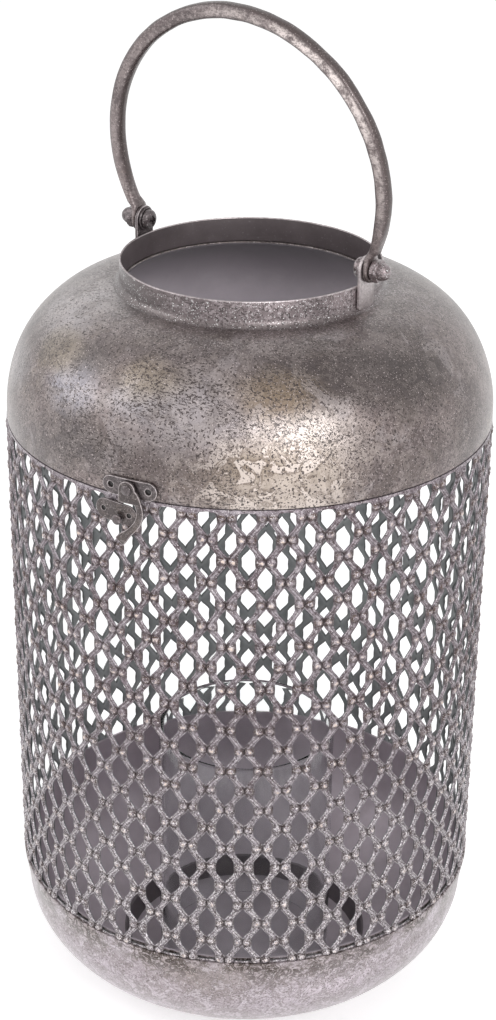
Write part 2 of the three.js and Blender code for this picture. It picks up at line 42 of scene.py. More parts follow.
# Base bowl. A steel sheet pressed into a deep round bowl, with a flat-floored well in its
# middle that the chimney stands in. Its rim carries a low step that locates the openwork.
bowl_sides = 168
bowl_sheet = 1.2 * mm
bowl_rim_radius = 125 * mm
bowl_rim_height = 81.2 * mm
bowl_wall_bottom = 67.4 * mm
bowl_wall_foot_radius = 122.5 * mm
well_radius = 67.5 * mm
well_lip_radius = 69.3 * mm
well_wall_draft = 1.6 * mm
step_radius = 122.5 * mm
step_top = 83.3 * mm


def pressed_curve(centre_radius, centre_height, width, height, roundness, steps):
    """Quarter of a rounded-square curve as radius and height pairs, from the wall inwards."""
    turn = np.linspace(0, pi / 2, steps)
    radius = centre_radius + width * np.cos(turn) ** (2 / roundness)
    rise = centre_height + height * np.sin(turn) ** (2 / roundness)
    return np.stack([radius, rise], 1)


def ring_faces(rings, sides, start=0):
    """Faces between rings of points that follow each other."""
    faces = []
    for ring in range(rings - 1):
        for i in range(sides):
            a, b = start + ring * sides + i, start + ring * sides + (i + 1) % sides
            faces.append((a, b, b + sides, a + sides))
    return faces


def turned(outline, sides):
    """Points and faces of an outline of radius and height pairs, turned about the upright axis."""
    turns = np.arange(sides) * 2 * pi / sides
    points = [(r * cos(a), r * sin(a), z) for r, z in outline for a in turns]
    return points, ring_faces(len(outline), sides)


def add_object(name, data):
    """An object that shows its data in the scene."""
    piece = bpy.data.objects.new(name, data)
    bpy.context.scene.collection.objects.link(piece)
    return piece


def piece_from(form, name, smooth_below=40):
    """An object from a finished form, crisp only where its faces meet at a sharp angle."""
    bmesh.ops.recalc_face_normals(form, faces=form.faces)
    mesh = bpy.data.meshes.new(name)
    form.to_mesh(mesh)
    form.free()
    mesh.shade_smooth()
    mesh.set_sharp_from_angle(angle=radians(smooth_below))
    return add_object(name, mesh)


def mark_points(mesh, label, values):
    """Marks a value on each point, for the piece's finish to read."""
    mesh.attributes.new(label, "FLOAT", "POINT").data.foreach_set("value", values)


def welded(mesh, reach=1e-6):
    """A form for shaping, from a mesh whose points that lie together become one."""
    form = bmesh.new()
    form.from_mesh(mesh)
    bpy.data.meshes.remove(mesh)
    bmesh.ops.remove_doubles(form, verts=form.verts, dist=reach)
    return form


def make_piece(name, points, faces, smooth_below=40, weld=1e-6, marks=None):
    """An object from points and faces, with the values marked on its points."""
    draft = bpy.data.meshes.new(name)
    draft.from_pydata(points, [], faces)
    for label, values in (marks or {}).items():
        mark_points(draft, label, values)
    return piece_from(welded(draft, weld), name, smooth_below)


def beat_unevenly(piece, depth, spread, seed):
    """Moves every point a little in or out, as on hand-beaten sheet."""
    offset = Vector((seed, 2 * seed, 3 * seed))
    for vertex in piece.data.vertices:
        x, y, z = vertex.co
        out = Vector((x, y, 0))
        if out.length > 1e-6:
            vertex.co += out.normalized() * depth * noise.noise(vertex.co / spread + offset)


outer_bowl = pressed_curve(20 * mm, bowl_wall_bottom, 102.5 * mm, -62.4 * mm, 2.2, 40)
outer_bowl = outer_bowl[outer_bowl[:, 0] > well_lip_radius + 2.5 * mm]
inner_bowl = pressed_curve(20 * mm, bowl_wall_bottom, 101.3 * mm, -61.2 * mm, 2.2, 40)
inner_bowl = inner_bowl[inner_bowl[:, 0] > well_lip_radius + 1.2 * mm]
lip_height = outer_bowl[-1][1]
bowl_outline = [
    (0, 0),
    (60 * mm, 0),
    (64.6 * mm, 0),
    (66.1 * mm, 0.5 * mm),
    (66.9 * mm, 1.9 * mm),
    (well_radius + bowl_sheet, lip_height - 1.8 * mm),
    (well_lip_radius + 0.6 * mm, lip_height - 0.6 * mm),
    *outer_bowl[::-1],
    (bowl_wall_foot_radius + 1.3 * mm, 74 * mm),
    (bowl_rim_radius - 0.1 * mm, bowl_rim_height - 0.7 * mm),
    (bowl_rim_radius - 0.25 * mm, bowl_rim_height - 0.15 * mm),
    (bowl_rim_radius - 0.6 * mm, bowl_rim_height),
    (step_radius, bowl_rim_height),
    (step_radius, step_top),
    (step_radius - bowl_sheet, step_top),
    (step_radius - bowl_sheet, bowl_rim_height - bowl_sheet),
    (bowl_wall_foot_radius, bowl_rim_height - 3 * bowl_sheet),
    *inner_bowl,
    (well_lip_radius, inner_bowl[-1][1] - 0.1 * mm),
    (well_radius + 0.5 * mm, inner_bowl[-1][1] - 0.8 * mm),
    (well_radius, inner_bowl[-1][1] - 2.2 * mm),
    (well_radius - well_wall_draft, bowl_sheet + 1.4 * mm),
    (well_radius - well_wall_draft - 0.5 * mm, bowl_sheet + 0.4 * mm),
    (well_radius - well_wall_draft - 1.6 * mm, bowl_sheet),
    (40 * mm, bowl_sheet),
    (20 * mm, bowl_sheet),
    (0, bowl_sheet),
]
bowl = make_piece("bowl", *turned(bowl_outline, bowl_sides))


def wire(node, inputs):
    """Sets inputs of a node, each to a number, a colour or what another node gives."""
    for label, value in inputs.items():
        socket = node.inputs[label]
        if isinstance(value, bpy.types.NodeSocket):
            node.id_data.links.new(value, socket)
        else:
            socket.default_value = (*value, 1) if socket.type == "RGBA" else value


def shader_for(name):
    """A material with its shader and the place on the piece in metres."""
    material = bpy.data.materials.new(name)
    material.use_nodes = True
    nodes = material.node_tree.nodes
    return material, nodes["Principled BSDF"], nodes.new("ShaderNodeTexCoord").outputs["Object"]


def grain(place, scale, detail=4.0, rough=0.6, twist=0.0):
    """Cloudy grain. Its scale is in grains to the metre."""
    node = place.id_data.nodes.new("ShaderNodeTexNoise")
    wire(node, {"Vector": place, "Scale": scale, "Detail": detail, "Roughness": rough, "Distortion": twist})
    return node.outputs["Fac"]


def ramp(value, low, high):
    """Spreads a value between low and high out to the full 0 to 1."""
    node = value.id_data.nodes.new("ShaderNodeMapRange")
    node.interpolation_type = "SMOOTHSTEP"
    wire(node, {"Value": value, "From Min": low, "From Max": high})
    return node.outputs["Result"]


def clouds(place, low, high, scale, detail=4.0, rough=0.6, twist=0.0):
    """Grain spread out so that it is 0 below low and 1 above high."""
    return ramp(grain(place, scale, detail, rough, twist), low, high)


def reckon(operation, *values):
    """A sum, product or other reckoning. Its first value comes from another node."""
    node = values[0].id_data.nodes.new("ShaderNodeMath")
    node.operation = operation
    wire(node, dict(enumerate(values)))
    return node.outputs[0]


def product(*shares):
    """All shares multiplied."""
    result = shares[0]
    for share in shares[1:]:
        result = reckon("MULTIPLY", result, share)
    return result


def lay(colour, tint, *shares):
    """Lays a tint over a colour, as strongly as the product of the shares."""
    share = product(*shares)
    node = share.id_data.nodes.new("ShaderNodeMix")
    node.data_type = "RGBA"
    wire(node, {"Factor": share, "A": colour, "B": tint})
    return node.outputs["Result"]


def lay_all(colour, *layers):
    """Lays tints over a colour one after another, each with its shares."""
    for tint, *shares in layers:
        colour = lay(colour, tint, *shares)
    return colour


def relief(shader, height, depth):
    """Fine relief over any that the shader has already, its depth in metres."""
    node = shader.id_data.nodes.new("ShaderNodeBump")
    wire(node, {"Height": height, "Distance": depth})
    for link in shader.inputs["Normal"].links:
        wire(node, {"Normal": link.from_socket})
    wire(shader, {"Normal": node.outputs["Normal"]})


def flaking(place, scale, ragged, edge):
    """Flakes of rubbed lacquer and the thin lines round them, its scale in flakes to the metre."""
    spread = grain(place, scale, 5, ragged, 0.8)
    away = reckon("ABSOLUTE", reckon("SUBTRACT", spread, 0.505))
    return ramp(spread, 0.5, 0.53), ramp(away, edge, edge * 0.3)


dash_grain = (380, 1400, 1400)
dash_turns = ((0.4, 0.9, 0.2), (-0.6, -0.8, 1.5))


def scratches(place, turn):
    """Short fine dashes that lie one way."""
    node = place.id_data.nodes.new("ShaderNodeMapping")
    wire(node, {"Vector": place, "Rotation": turn, "Scale": dash_grain})
    return clouds(node.outputs["Vector"], 0.607, 0.635, 1, 2, 0.5)


def aged_pewter(
    name, ground, dark, worn, gilt, worn_share=0.4, gilt_share=0.4, pits=0.5, painted_glints=0.6, finish=None,
):
    """Rubbed pewter lacquer: cloudy ground, gilt bloom, worn flakes, pits, dashes and painted glint specks.
    """
    material, shader, place = shader_for(name)
    flakes = grain(place, 480, 6, 0.7)
    speck = grain(place, 850, 2)
    colour = lay(ground, dark, clouds(place, 0.38, 0.62, 19, 6, 0.62))
    bloom = clouds(place, 0.62 - 0.14 * gilt_share, 0.7, 26, 7, 0.7)
    colour = lay(colour, gilt, bloom, 0.6)
    wear = reckon("ADD", flakes, product(grain(place, 30), 0.35))
    worn_from = 0.74 - 0.12 * worn_share
    colour = lay(colour, worn, ramp(wear, worn_from, worn_from + 0.03), 0.36)
    if finish:
        colour = finish(place, colour)
    dashes = reckon("MAXIMUM", *[scratches(place, turn) for turn in dash_turns])
    dashes = product(dashes, clouds(place, 0.42, 0.56, 34))
    pit_at = product(reckon("MAXIMUM", ramp(speck, 0.57, 0.62), dashes), pits)
    colour = lay(colour, (dark[0] * 0.4, dark[1] * 0.37, dark[2] * 0.36), pit_at)
    # Painted glints: bright specks that stand in for tiny highlights.
    bright = tuple(min(0.9, share * 2) for share in worn)
    colour = lay(colour, bright, clouds(place, 0.66, 0.72, 1500, 1, 0.5), painted_glints)
    rough = reckon("MULTIPLY_ADD", flakes, 0.35, 0.24)
    wire(shader, {"Base Color": colour, "Roughness": rough, "Metallic": 0.8})
    wire(shader, {"Coat Weight": 0.7, "Coat Roughness": 0.3})
    relief(shader, reckon("SUBTRACT", product(flakes, 0.6), product(pit_at, 0.5)), 0.3 * mm)
    relief(shader, speck, 0.1 * mm)
    return material


def height_share(place, none_at, all_at):
    """A share that grows from one height on the piece to another."""
    node = place.id_data.nodes.new("ShaderNodeSeparateXYZ")
    wire(node, {0: place})
    return ramp(node.outputs["Z"], none_at, all_at)


def patch(place, middle, reach, flatten=2.0):
    """A ragged cloud round one point of the piece, wider than it is high, given in millimetres."""
    squeeze = Vector((1, 1, flatten))
    flat = place.id_data.nodes.new("ShaderNodeVectorMath")
    flat.operation = "MULTIPLY"
    wire(flat, {0: place, 1: squeeze})
    away = place.id_data.nodes.new("ShaderNodeVectorMath")
    away.operation = "DISTANCE"
    wire(away, {0: flat.outputs[0], 1: Vector(middle) * mm * squeeze})
    reach = reach * mm
    ragged = reckon("MULTIPLY_ADD", grain(place, 55, 6, 0.65), reach, away.outputs["Value"])
    return ramp(ragged, reach * 1.6, reach * 0.7)


def lay_patches(place, colour, patches):
    """Lays ragged clouds over a colour, each with its middle's x, y and z, reach, share and tint."""
    for x, y, z, reach, share, tint in patches:
        colour = lay(colour, tint, patch(place, (x, y, z), reach), share)
    return colour


# A brown cloud at the front, and at the right front a pale cloud of painted highlight.
bowl_tone_and_highlight_patches = (
    (40, -114, 68, 34, 0.6, (0.27, 0.225, 0.2)),
    (94, -78, 66, 38, 0.8, (0.7, 0.62, 0.68)),
)
rubbed_lilac = (0.66, 0.6, 0.65)
flake_edge = (0.2, 0.165, 0.155)
rim_brown = (0.3, 0.245, 0.205)
crackle_brown = (0.05, 0.033, 0.025)


def bowl_wear(place, colour):
    """A brown cloud, a pale cloud of painted highlight, rubbed flakes, and crumpled brown lines under the
    foot of the net.
    """
    colour = lay_patches(place, colour, bowl_tone_and_highlight_patches)
    flake, edge = flaking(place, 95, 0.7, 0.06)
    line = flaking(place, 230, 0.62, 0.1)[1]
    near_rim = product(height_share(place, 58 * mm, 79 * mm), clouds(place, 0.34, 0.56, 40))
    return lay_all(
        colour, (rubbed_lilac, flake, 0.4), (flake_edge, edge, 0.5), (rim_brown, near_rim, 0.4),
        (crackle_brown, near_rim, line),
    )


bowl_metal = aged_pewter(
    "bowl_metal", (0.47, 0.41, 0.455), (0.415, 0.355, 0.385), (0.68, 0.61, 0.66), (0.43, 0.36, 0.33),
    worn_share=0.5, gilt_share=0.3, pits=0.8, finish=bowl_wear,
)


def read_mark(place, label):
    """A value marked on each point of the piece."""
    node = place.id_data.nodes.new("ShaderNodeAttribute")
    node.attribute_name = label
    return node.outputs["Fac"]


lining_dust = (0.34, 0.33, 0.34)


def lining(name, colour, pale, edges=None, shade_above=None):
    """The plain grey lacquer inside, cloudy and dusty, with painted shade at marked edges or high up."""
    material, shader, place = shader_for(name)
    tint = lay(colour, pale, clouds(place, 0.3, 0.7, 26, 5))
    tint = lay(tint, lining_dust, clouds(place, 0.62, 0.75, 900, 3), 0.3)
    # Painted shade: darker along the marked edges and higher up.
    if edges:
        tint = lay(tint, tuple(c * 0.3 for c in colour), read_mark(place, edges))
    if shade_above:
        high = height_share(place, *shade_above)
        tint = lay(tint, tuple(c * 0.28 for c in colour), high)
    wire(shader, {"Base Color": tint, "Metallic": 0.35, "Roughness": 0.5})
    relief(shader, grain(place, 420), 0.08 * mm)
    return material


def finish_in(piece, *metals):
    """Gives a piece its finishes, the first one for every face that names no other."""
    for metal in metals:
        piece.data.materials.append(metal)


bowl_lining = lining("bowl_lining", (0.42, 0.36, 0.4), (0.56, 0.49, 0.54))
# The well's wall gets a much darker copy of the lining: painted shade.
well_shade_lining = lining("well_shade_lining", (0.14, 0.12, 0.13), (0.22, 0.19, 0.205))
finish_in(bowl, bowl_metal, bowl_lining, well_shade_lining)
for face in bowl.data.polygons:
    out = Vector((face.center.x, face.center.y, 0))
    faces_in = face.normal.dot(out) < 0 and face.center.z > 2 * mm
    if faces_in or face.normal.z > 0.5 and out.length < step_radius:
        # Faces inside the well take the painted-shade lining.
        in_well = out.length < well_lip_radius and face.center.z > bowl_sheet + 0.5 * mm
        face.material_index = 2 if in_well else 1
beat_unevenly(bowl, 0.25 * mm, 28 * mm, 3)
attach(bowl, "base")
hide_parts("base_bowl")

# Openwork body. A cast and pressed net of wavy upright strands, which touch side by side in pairs
# of beads, rolled into a drum and welded down its back. Each strand is round in front and a
# little flatter behind, and each bead is parted from its neighbours by a crevice that is darkened
# with painted shade.
columns = 41
row_pitch = 11.47 * mm
first_row = 82.6 * mm
last_row = 22
drum_radius = 125 * mm
back_radius = 122.6 * mm
drum_bottom = 81.3 * mm
drum_top = 339.1 * mm
strand_half_width = 1.7 * mm
strand_rise = 1.85 * mm
strand_meet = 1.5 * mm
edge_rise = 0.95 * mm
rim_rise = 1.6 * mm
# Grooves along the strands and crevices round the beads get a line of painted shade.
groove_at = 0.42
groove_width = 0.13
groove_depth = 0.28 * mm
groove_shade = 0.8
bead_rise = 2.35 * mm
bead_middle = 2.45 * mm
bead_reach = 4.8 * mm
bead_half_height = 1.9 * mm
bead_squareness = 2.6
crevice_at = 1.08
crevice_width = 0.3
crevice_depth = 0.6 * mm
hole_side = 4.35 * mm
waist_depth = 0.45 * mm
waist_at = 3.3 * mm
waist_height = 1.4 * mm
hole_tip = 9.6 * mm
half_pitch = pi * drum_radius / columns
turned_by = -0.76 * mm
stretch = 1.6 * mm
stretch_from = radians(63.7)
side_waves = ((0.28 * mm, 23, 9 * mm), (0.2 * mm, 31, -5 * mm))
height_waves = ((0.3 * mm, 19, -7 * mm), (0.18 * mm, 37, 4 * mm))
across_strand = np.array([0, 0.14, 0.3, 0.46, 0.62, 0.8, 1])
along_strand = (1 - np.cos(np.linspace(0, pi, 13))) / 2
# Back layers: how far in from the hole's edge, how far off the back, and how much painted shade the lining
# gets there.
back_layers = ((0.25 * mm, 0.4 * mm, 1), (0.65 * mm, 0.1 * mm, 0.3))
taper_most = 0.55
rim_from = 0.9 * mm
rim_fade = 1.4 * mm
wave_fade = 6 * mm
rim_hole_share = 0.82
hole_pointedness = 1.9


def net_rise(across, up):
    """How far the front stands off the back, and how much of a bead and of a line of painted shade is
    there.
    """
    across, up = np.abs(across), np.abs(up)
    swing = half_pitch / 2 - strand_meet
    phase = pi * up / row_pitch
    middle = half_pitch / 2 + swing * np.cos(phase)
    lean = swing * pi / row_pitch * np.sin(phase)
    share = np.clip(np.abs(across - middle) / np.hypot(1, lean) / strand_half_width, 0, 1)
    groove = np.exp(-(((share - groove_at) / groove_width) ** 2))
    rise = edge_rise + (strand_rise - edge_rise) * np.sqrt(1 - share ** 2) - groove_depth * groove
    line = groove_shade * groove
    bead = np.zeros_like(rise)
    for node_across, node_up in ((half_pitch, 0), (0, row_pitch)):
        side = np.abs(np.abs(across - node_across) - bead_middle) / (bead_reach - bead_middle)
        lift = np.abs(up - node_up) / bead_half_height
        off_bead = (side ** bead_squareness + lift ** bead_squareness) ** (1 / bead_squareness)
        crevice = np.exp(-(((off_bead - crevice_at) / crevice_width) ** 2)) * (lift < 2)
        rise = rise - crevice_depth * crevice
        line = np.maximum(line * (off_bead > 1), crevice)
        bead = np.maximum(bead, np.sqrt(np.clip(1 - off_bead ** 2, 0, 1)))
    rise = np.maximum(rise, edge_rise + (bead_rise - edge_rise) * bead)
    return rise, bead, np.clip(line * (1 - bead), 0, 1)


def net_cell(kind):
    """Middle line of the strands round one hole of the net, the hole's edge, and where the rim runs."""
    reach = along_strand * along_strand * (3 - 2 * along_strand)
    outer = np.stack([half_pitch * (1 - along_strand), row_pitch * along_strand], 1)
    inner = np.stack([hole_side * (1 - reach ** 3) ** hole_pointedness, hole_tip * reach], 1)
    inner[:, 0] += waist_depth * np.exp(-(((inner[:, 1] - waist_at) / waist_height) ** 2))
    quarter = np.stack([outer, inner], 1)
    upper = np.concatenate([quarter, quarter[-2::-1] * (-1, 1)])
    if kind == "full":
        return np.concatenate([upper[:-1], upper[:-1] * (-1, -1)]), []
    away = -1 if kind == "bottom" else 1
    rim = first_row - drum_bottom if kind == "bottom" else drum_top - first_row - last_row * row_pitch
    flat = 0.3 * mm if kind == "bottom" else rim - 1.9 * mm
    border = [[(away * half_pitch, away * rim / 2), (away * hole_side, away * flat * 0.4)]]
    for share in (1, 0.5, 0, -0.5, -1):
        hole = (away * share * hole_side * rim_hole_share, away * flat * (1.15 - 0.25 * abs(share)))
        border.append([(away * share * half_pitch, away * rim), hole])
    border.append([(-away * half_pitch, away * rim / 2), (-away * hole_side, away * flat * 0.4)])
    side = upper if kind == "bottom" else upper * (-1, -1)
    return np.concatenate([side, border]), list(range(len(side) + 1, len(side) + 6))


def waver(angle, height, waves):
    """Sum of small waves round and up the drum, each with its depth, count and height."""
    return sum(depth * np.sin(count * angle + height / tall) for depth, count, tall in waves)


points, faces = [], []
marks = {"bead": [], "rise": [], "line": []}
for row in range(last_row + 1):
    kind = "bottom" if row == 0 else "top" if row == last_row else "full"
    cell, rims = net_cell(kind)
    outer, inner = cell[:, 0], cell[:, 1]
    count = len(cell)
    rung = outer - inner
    rung_length = np.linalg.norm(rung, axis=1, keepdims=True)
    layers = [outer - rung * share for share in across_strand]
    for taper, _, _ in back_layers:
        layers.append(inner + rung * np.minimum(taper / rung_length, taper_most))
    flat = np.concatenate([*layers, outer])
    rise, bead, line = net_rise(flat[:, 0], flat[:, 1])
    if kind != "full":
        outside = flat[:, 1] if kind == "top" else -flat[:, 1]
        plain = np.clip((outside - rim_from) / rim_fade, 0, 1)
        rise = rise * (1 - plain) + rim_rise * plain
        line, bead = line * (1 - plain), bead * (1 - plain)
    first = len(across_strand) * count
    rise[first - count:first] = edge_rise
    for _, back_rise, edge_shade in (*back_layers, (0, 0, 0)):
        rise[first:first + count] = back_rise
        bead[first:first + count] = 0
        line[first:first + count] = edge_shade
        first += count
    rings = len(flat) // count
    for column in range(columns):
        middle = radians(-90) + (column + (row % 2) / 2) * 2 * pi / columns
        start = len(points)
        angle = middle + flat[:, 0] / drum_radius
        height = first_row + row * row_pitch + flat[:, 1]
        inside = np.clip(np.minimum(height - drum_bottom, drum_top - height) / wave_fade, 0, 1)
        wander = inside * waver(angle, height, side_waves)
        stray = inside * waver(angle, height, height_waves)
        uneven = turned_by - stretch * np.sin(angle + stretch_from)
        angle = angle + (wander + uneven) / drum_radius
        radius = back_radius + rise
        points += np.stack([radius * np.cos(angle), radius * np.sin(angle), height + stray], 1).tolist()
        for label, values in (("bead", bead), ("rise", rise), ("line", line)):
            marks[label] += values.tolist()
        faces += ring_faces(rings, count, start)
        behind = start + (rings - 1) * count
        for i in rims[:-1]:
            faces.append((start + i, behind + i, behind + i + 1, start + i + 1))
openwork = make_piece("openwork", points, faces, 60, 2e-6, marks)

mauve, pale_mauve, low_lilac = (0.21, 0.17, 0.19), (0.33, 0.29, 0.32), (0.42, 0.385, 0.42)
bead_brown_and_shade, bead_highlight_cream = (0.1, 0.062, 0.04), (0.8, 0.65, 0.55)
ridge_rub_and_sheen, glint_white = (0.52, 0.47, 0.5), (0.9, 0.86, 0.87)
net_tarnish, crumple_dark, line_shade_dark = (0.075, 0.052, 0.056), (0.085, 0.066, 0.07), (0.042, 0.028, 0.026)

# Mauve grey strands with rubbed ridges and brown beads, and crumpled silver lower down. The pale
# ridges are partly rubbing and partly painted sheen, the cream bead tops painted highlight, the
# brown bead flanks partly patina and partly painted shade, the white specks painted glints, and
# the dark lines in grooves and crevices painted shade.
net_metal, shader, place = shader_for("net_metal")
ridge = ramp(read_mark(place, "rise"), edge_rise, strand_rise)
bead = read_mark(place, "bead")
low = height_share(place, 240 * mm, 120 * mm)
streak = grain(place, 430, 5, 0.7)
fine = grain(place, 1500, 3, 0.7)
flank = product(ramp(bead, 0.1, 0.6), ramp(bead, 0.92, 0.6))
glint_spots = ramp(reckon("ADD", fine, product(low, 0.06)), 0.58, 0.64)
colour = lay_all(
    mauve,
    (pale_mauve, clouds(place, 0.36, 0.64, 34)),
    (low_lilac, low, 0.7),
    (bead_brown_and_shade, flank, clouds(place, 0.35, 0.55, 90), 0.92),
    (ridge_rub_and_sheen, ramp(streak, 0.52, 0.6), ridge, 0.75),
    (net_tarnish, ramp(streak, 0.47, 0.4), 0.8),
    (bead_highlight_cream, ramp(bead, 0.7, 0.95), ramp(streak, 0.5, 0.6), 0.8),
    (crumple_dark, low, ramp(fine, 0.47, 0.41), 0.85),
    (glint_white, glint_spots, 0.9),
    (line_shade_dark, read_mark(place, "line"), 0.92),
)
rough = reckon("MULTIPLY_ADD", fine, 0.35, 0.16)
wire(shader, {"Base Color": colour, "Roughness": rough, "Metallic": 0.75})
relief(shader, streak, 0.65 * mm)
relief(shader, fine, 0.2 * mm)
# The lining is darkened with painted shade along the edges of the net's back.
net_lining = lining("net_lining", (0.29, 0.305, 0.31), (0.44, 0.455, 0.46), "line")
finish_in(openwork, net_metal, net_lining)
for face in openwork.data.polygons:
    out = Vector((face.center.x, face.center.y, 0))
    if out.length < back_radius + 0.7 * mm and face.normal.dot(out.normalized()) < 0.1:
        face.material_index = 1
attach(openwork, "base")
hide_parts("openwork_body")

# Catch. A small stadium-shaped plate spot-welded to the net below the lid's edge, a little
# askew, with a round-headed stud riveted through it, low and to the right, for the hook.
latch_middle = radians(-90)
catch_side = -6.9 * mm
catch_height = 331 * mm
catch_tilt = radians(-4)
stud_side = 2 * mm
stud_drop = 2.5 * mm


def arc(radius, turns, x=0.0, y=0.0):
    """Points of an arc round a middle, one for each turn."""
    return [(x + radius * cos(a), y + radius * sin(a)) for a in turns]


def stadium(length, height, spacing):
    """Outline with straight sides and round ends, its points evenly spaced."""
    half, radius = length / 2 - height / 2, height / 2
    straight = np.linspace(-half, half, max(2, round(2 * half / spacing)))[1:-1]
    side = arc(radius, np.linspace(-pi / 2, pi / 2, 14), half)
    side += [(x, radius) for x in straight[::-1]]
    return side + [(-x, -y) for x, y in side]


def circle(x, y, radius, steps=20):
    """Outline of a round hole."""
    return arc(radius, [2 * pi * i / steps for i in range(steps)], x, y)


def worked_out(piece):
    """The mesh that a piece shows with its modifiers or curves worked out."""
    bpy.context.view_layer.update()
    return bpy.data.meshes.new_from_object(piece.evaluated_get(bpy.context.evaluated_depsgraph_get()))


def sheet_blank(outline, holes, thickness, edge):
    """A flat blank cut to an outline with holes, its edges eased. It lies in X and Y, on Z = 0."""
    curve = bpy.data.curves.new("blank", "CURVE")
    curve.dimensions = "2D"
    curve.fill_mode = "BOTH"
    curve.extrude = thickness / 2 - edge
    curve.bevel_depth = edge
    curve.bevel_resolution = 1
    curve.offset = -edge
    for loop in [outline, *holes]:
        spline = curve.splines.new("POLY")
        spline.points.add(len(loop) - 1)
        for point, (x, y) in zip(spline.points, loop):
            point.co = (x, y, 0, 1)
        spline.use_cyclic_u = True
    blank = add_object("blank", curve)
    form = welded(worked_out(blank))
    bpy.data.objects.remove(blank)
    form.normal_update()
    for face in form.faces:
        face.material_index = int(0.15 < abs(face.normal.z) < 0.97)
    return form


def bend_round(form, thickness, radius, height, side=0.0, tilt=0.0, cuts=12):
    """Bends a blank to the drum: its back at a radius, its middle at a height and a side step."""
    width = max(abs(v.co.x) for v in form.verts)
    for i in range(1, cuts):
        cut_at = ((-1 + 2 * i / cuts) * width, 0, 0)
        geometry = form.verts[:] + form.edges[:] + form.faces[:]
        bmesh.ops.bisect_plane(form, geom=geometry, plane_co=cut_at, plane_no=(1, 0, 0), dist=1e-7)
    for vertex in form.verts:
        x, y, z = vertex.co
        x, y = x * cos(tilt) - y * sin(tilt), x * sin(tilt) + y * cos(tilt)
        angle = latch_middle + (x + side) / radius
        reach = radius + z + thickness / 2
        vertex.co = (reach * cos(angle), reach * sin(angle), height + y)


fitting_metal = aged_pewter(
    "fitting_metal", (0.105, 0.083, 0.086), (0.05, 0.04, 0.042), (0.26, 0.225, 0.23), (0.15, 0.115, 0.098),
    worn_share=0.3, pits=0.6, painted_glints=0.7,
)
edge_metal = aged_pewter(
    "worn_edges", (0.46, 0.405, 0.41), (0.3, 0.255, 0.26), (0.72, 0.66, 0.66), (0.42, 0.35, 0.31),
    worn_share=0.8, pits=0.4,
)
# A black finish for the discs behind the plates' end holes: painted shade.
hole_shade = aged_pewter(
    "black_hole_shade", (0.02, 0.017, 0.017), (0.012, 0.01, 0.01), (0.05, 0.045, 0.045), (0.03, 0.025, 0.02),
    worn_share=0.1, gilt_share=0.1, pits=0.3, painted_glints=0.1,
)
catch_metal = aged_pewter(
    "catch_metal", (0.075, 0.057, 0.056), (0.045, 0.034, 0.034), (0.27, 0.235, 0.23), (0.18, 0.135, 0.11),
)


shade_disc_depth = 0.3 * mm


def welded_plate(name, metal, size, thickness, edge, end_holes, middle_hole, *bend):
    """A worn stadium plate bent to the drum, with holes for its stud and at its ends, and a black disc of
    painted shade behind each end hole.
    """
    side, radius = end_holes
    holes = [circle(-side, 0, radius), circle(side, 0, radius), middle_hole]
    form = sheet_blank(stadium(*size, 1.5 * mm), holes, thickness, edge)
    for x in (-side, side):
        shade_disc = bmesh.ops.create_cone(
            form, cap_ends=True, segments=24, radius1=radius + 0.1 * mm, radius2=radius + 0.1 * mm,
            depth=shade_disc_depth, matrix=Matrix.Translation((x, 0, (shade_disc_depth - thickness) / 2)),
        )
        for face in {face for vertex in shade_disc["verts"] for face in vertex.link_faces}:
            face.material_index = 2
    bend_round(form, thickness, *bend)
    plate = piece_from(form, name)
    finish_in(plate, metal, edge_metal, hole_shade)
    return plate


catch_back = 125.3 * mm
catch_size = (22.5 * mm, 10.3 * mm)
catch_end_holes = (7 * mm, 1.3 * mm)
stud_hole = circle(stud_side, -stud_drop, 1.7 * mm)
# Black discs behind the catch plate's end holes are painted shade.
catch = welded_plate(
    "catch_plate_worn", catch_metal, catch_size, 1 * mm, 0.2 * mm, catch_end_holes, stud_hole,
    catch_back, catch_height, catch_side, catch_tilt,
)
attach(catch, "base")
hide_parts("catch_plate")

out_of_drum = Matrix.Rotation(radians(90), 4, "Y")


def dome_top(radius, base, rise, steps=6):
    """Outline of a round head from its rim up to its crown."""
    turns = [pi / 2 * i / steps for i in range(steps)]
    return [(radius * cos(a), base + rise * sin(a)) for a in turns] + [(0, base + rise)]


def in_mm(outline):
    """An outline given in millimetres."""
    return [(x * mm, y * mm) for x, y in outline]


stud_outline = [(0, 125.6), (1.4, 125.6), (1.4, 128.3), (2.5, 128.3), *dome_top(2.6, 128.5, 1.2)]
stud = make_piece("catch_stud", *turned(in_mm(stud_outline), 32))
stud.data.transform(
    Matrix.Translation((0, 0, catch_height)) @ Matrix.Rotation(catch_side / catch_back, 4, "Z")
    @ Matrix.Rotation(-catch_tilt, 4, "Y") @ Matrix.Translation((stud_side, 0, -stud_drop))
    @ Matrix.Rotation(latch_middle, 4, "Z") @ out_of_drum
)
finish_in(stud, fitting_metal)
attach(stud, "base")
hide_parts("catch_pin")

# Lid hinge. Two small bent leaves spot-welded to the net and the lid at the back, with rolled
# knuckles on one steel pin. The solids have the right shape, so they keep it and are finished.
for node in ("hinge_leaf_body", "hinge_leaf_lid", "hinge_pin"):
    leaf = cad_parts[node]
    leaf.data.materials.clear()
    finish_in(leaf, fitting_metal)
    ease = leaf.modifiers.new("eased edges", "BEVEL")
    ease.width = 0.12 * mm
    ease.segments = 2
    ease.angle_limit = radians(50)

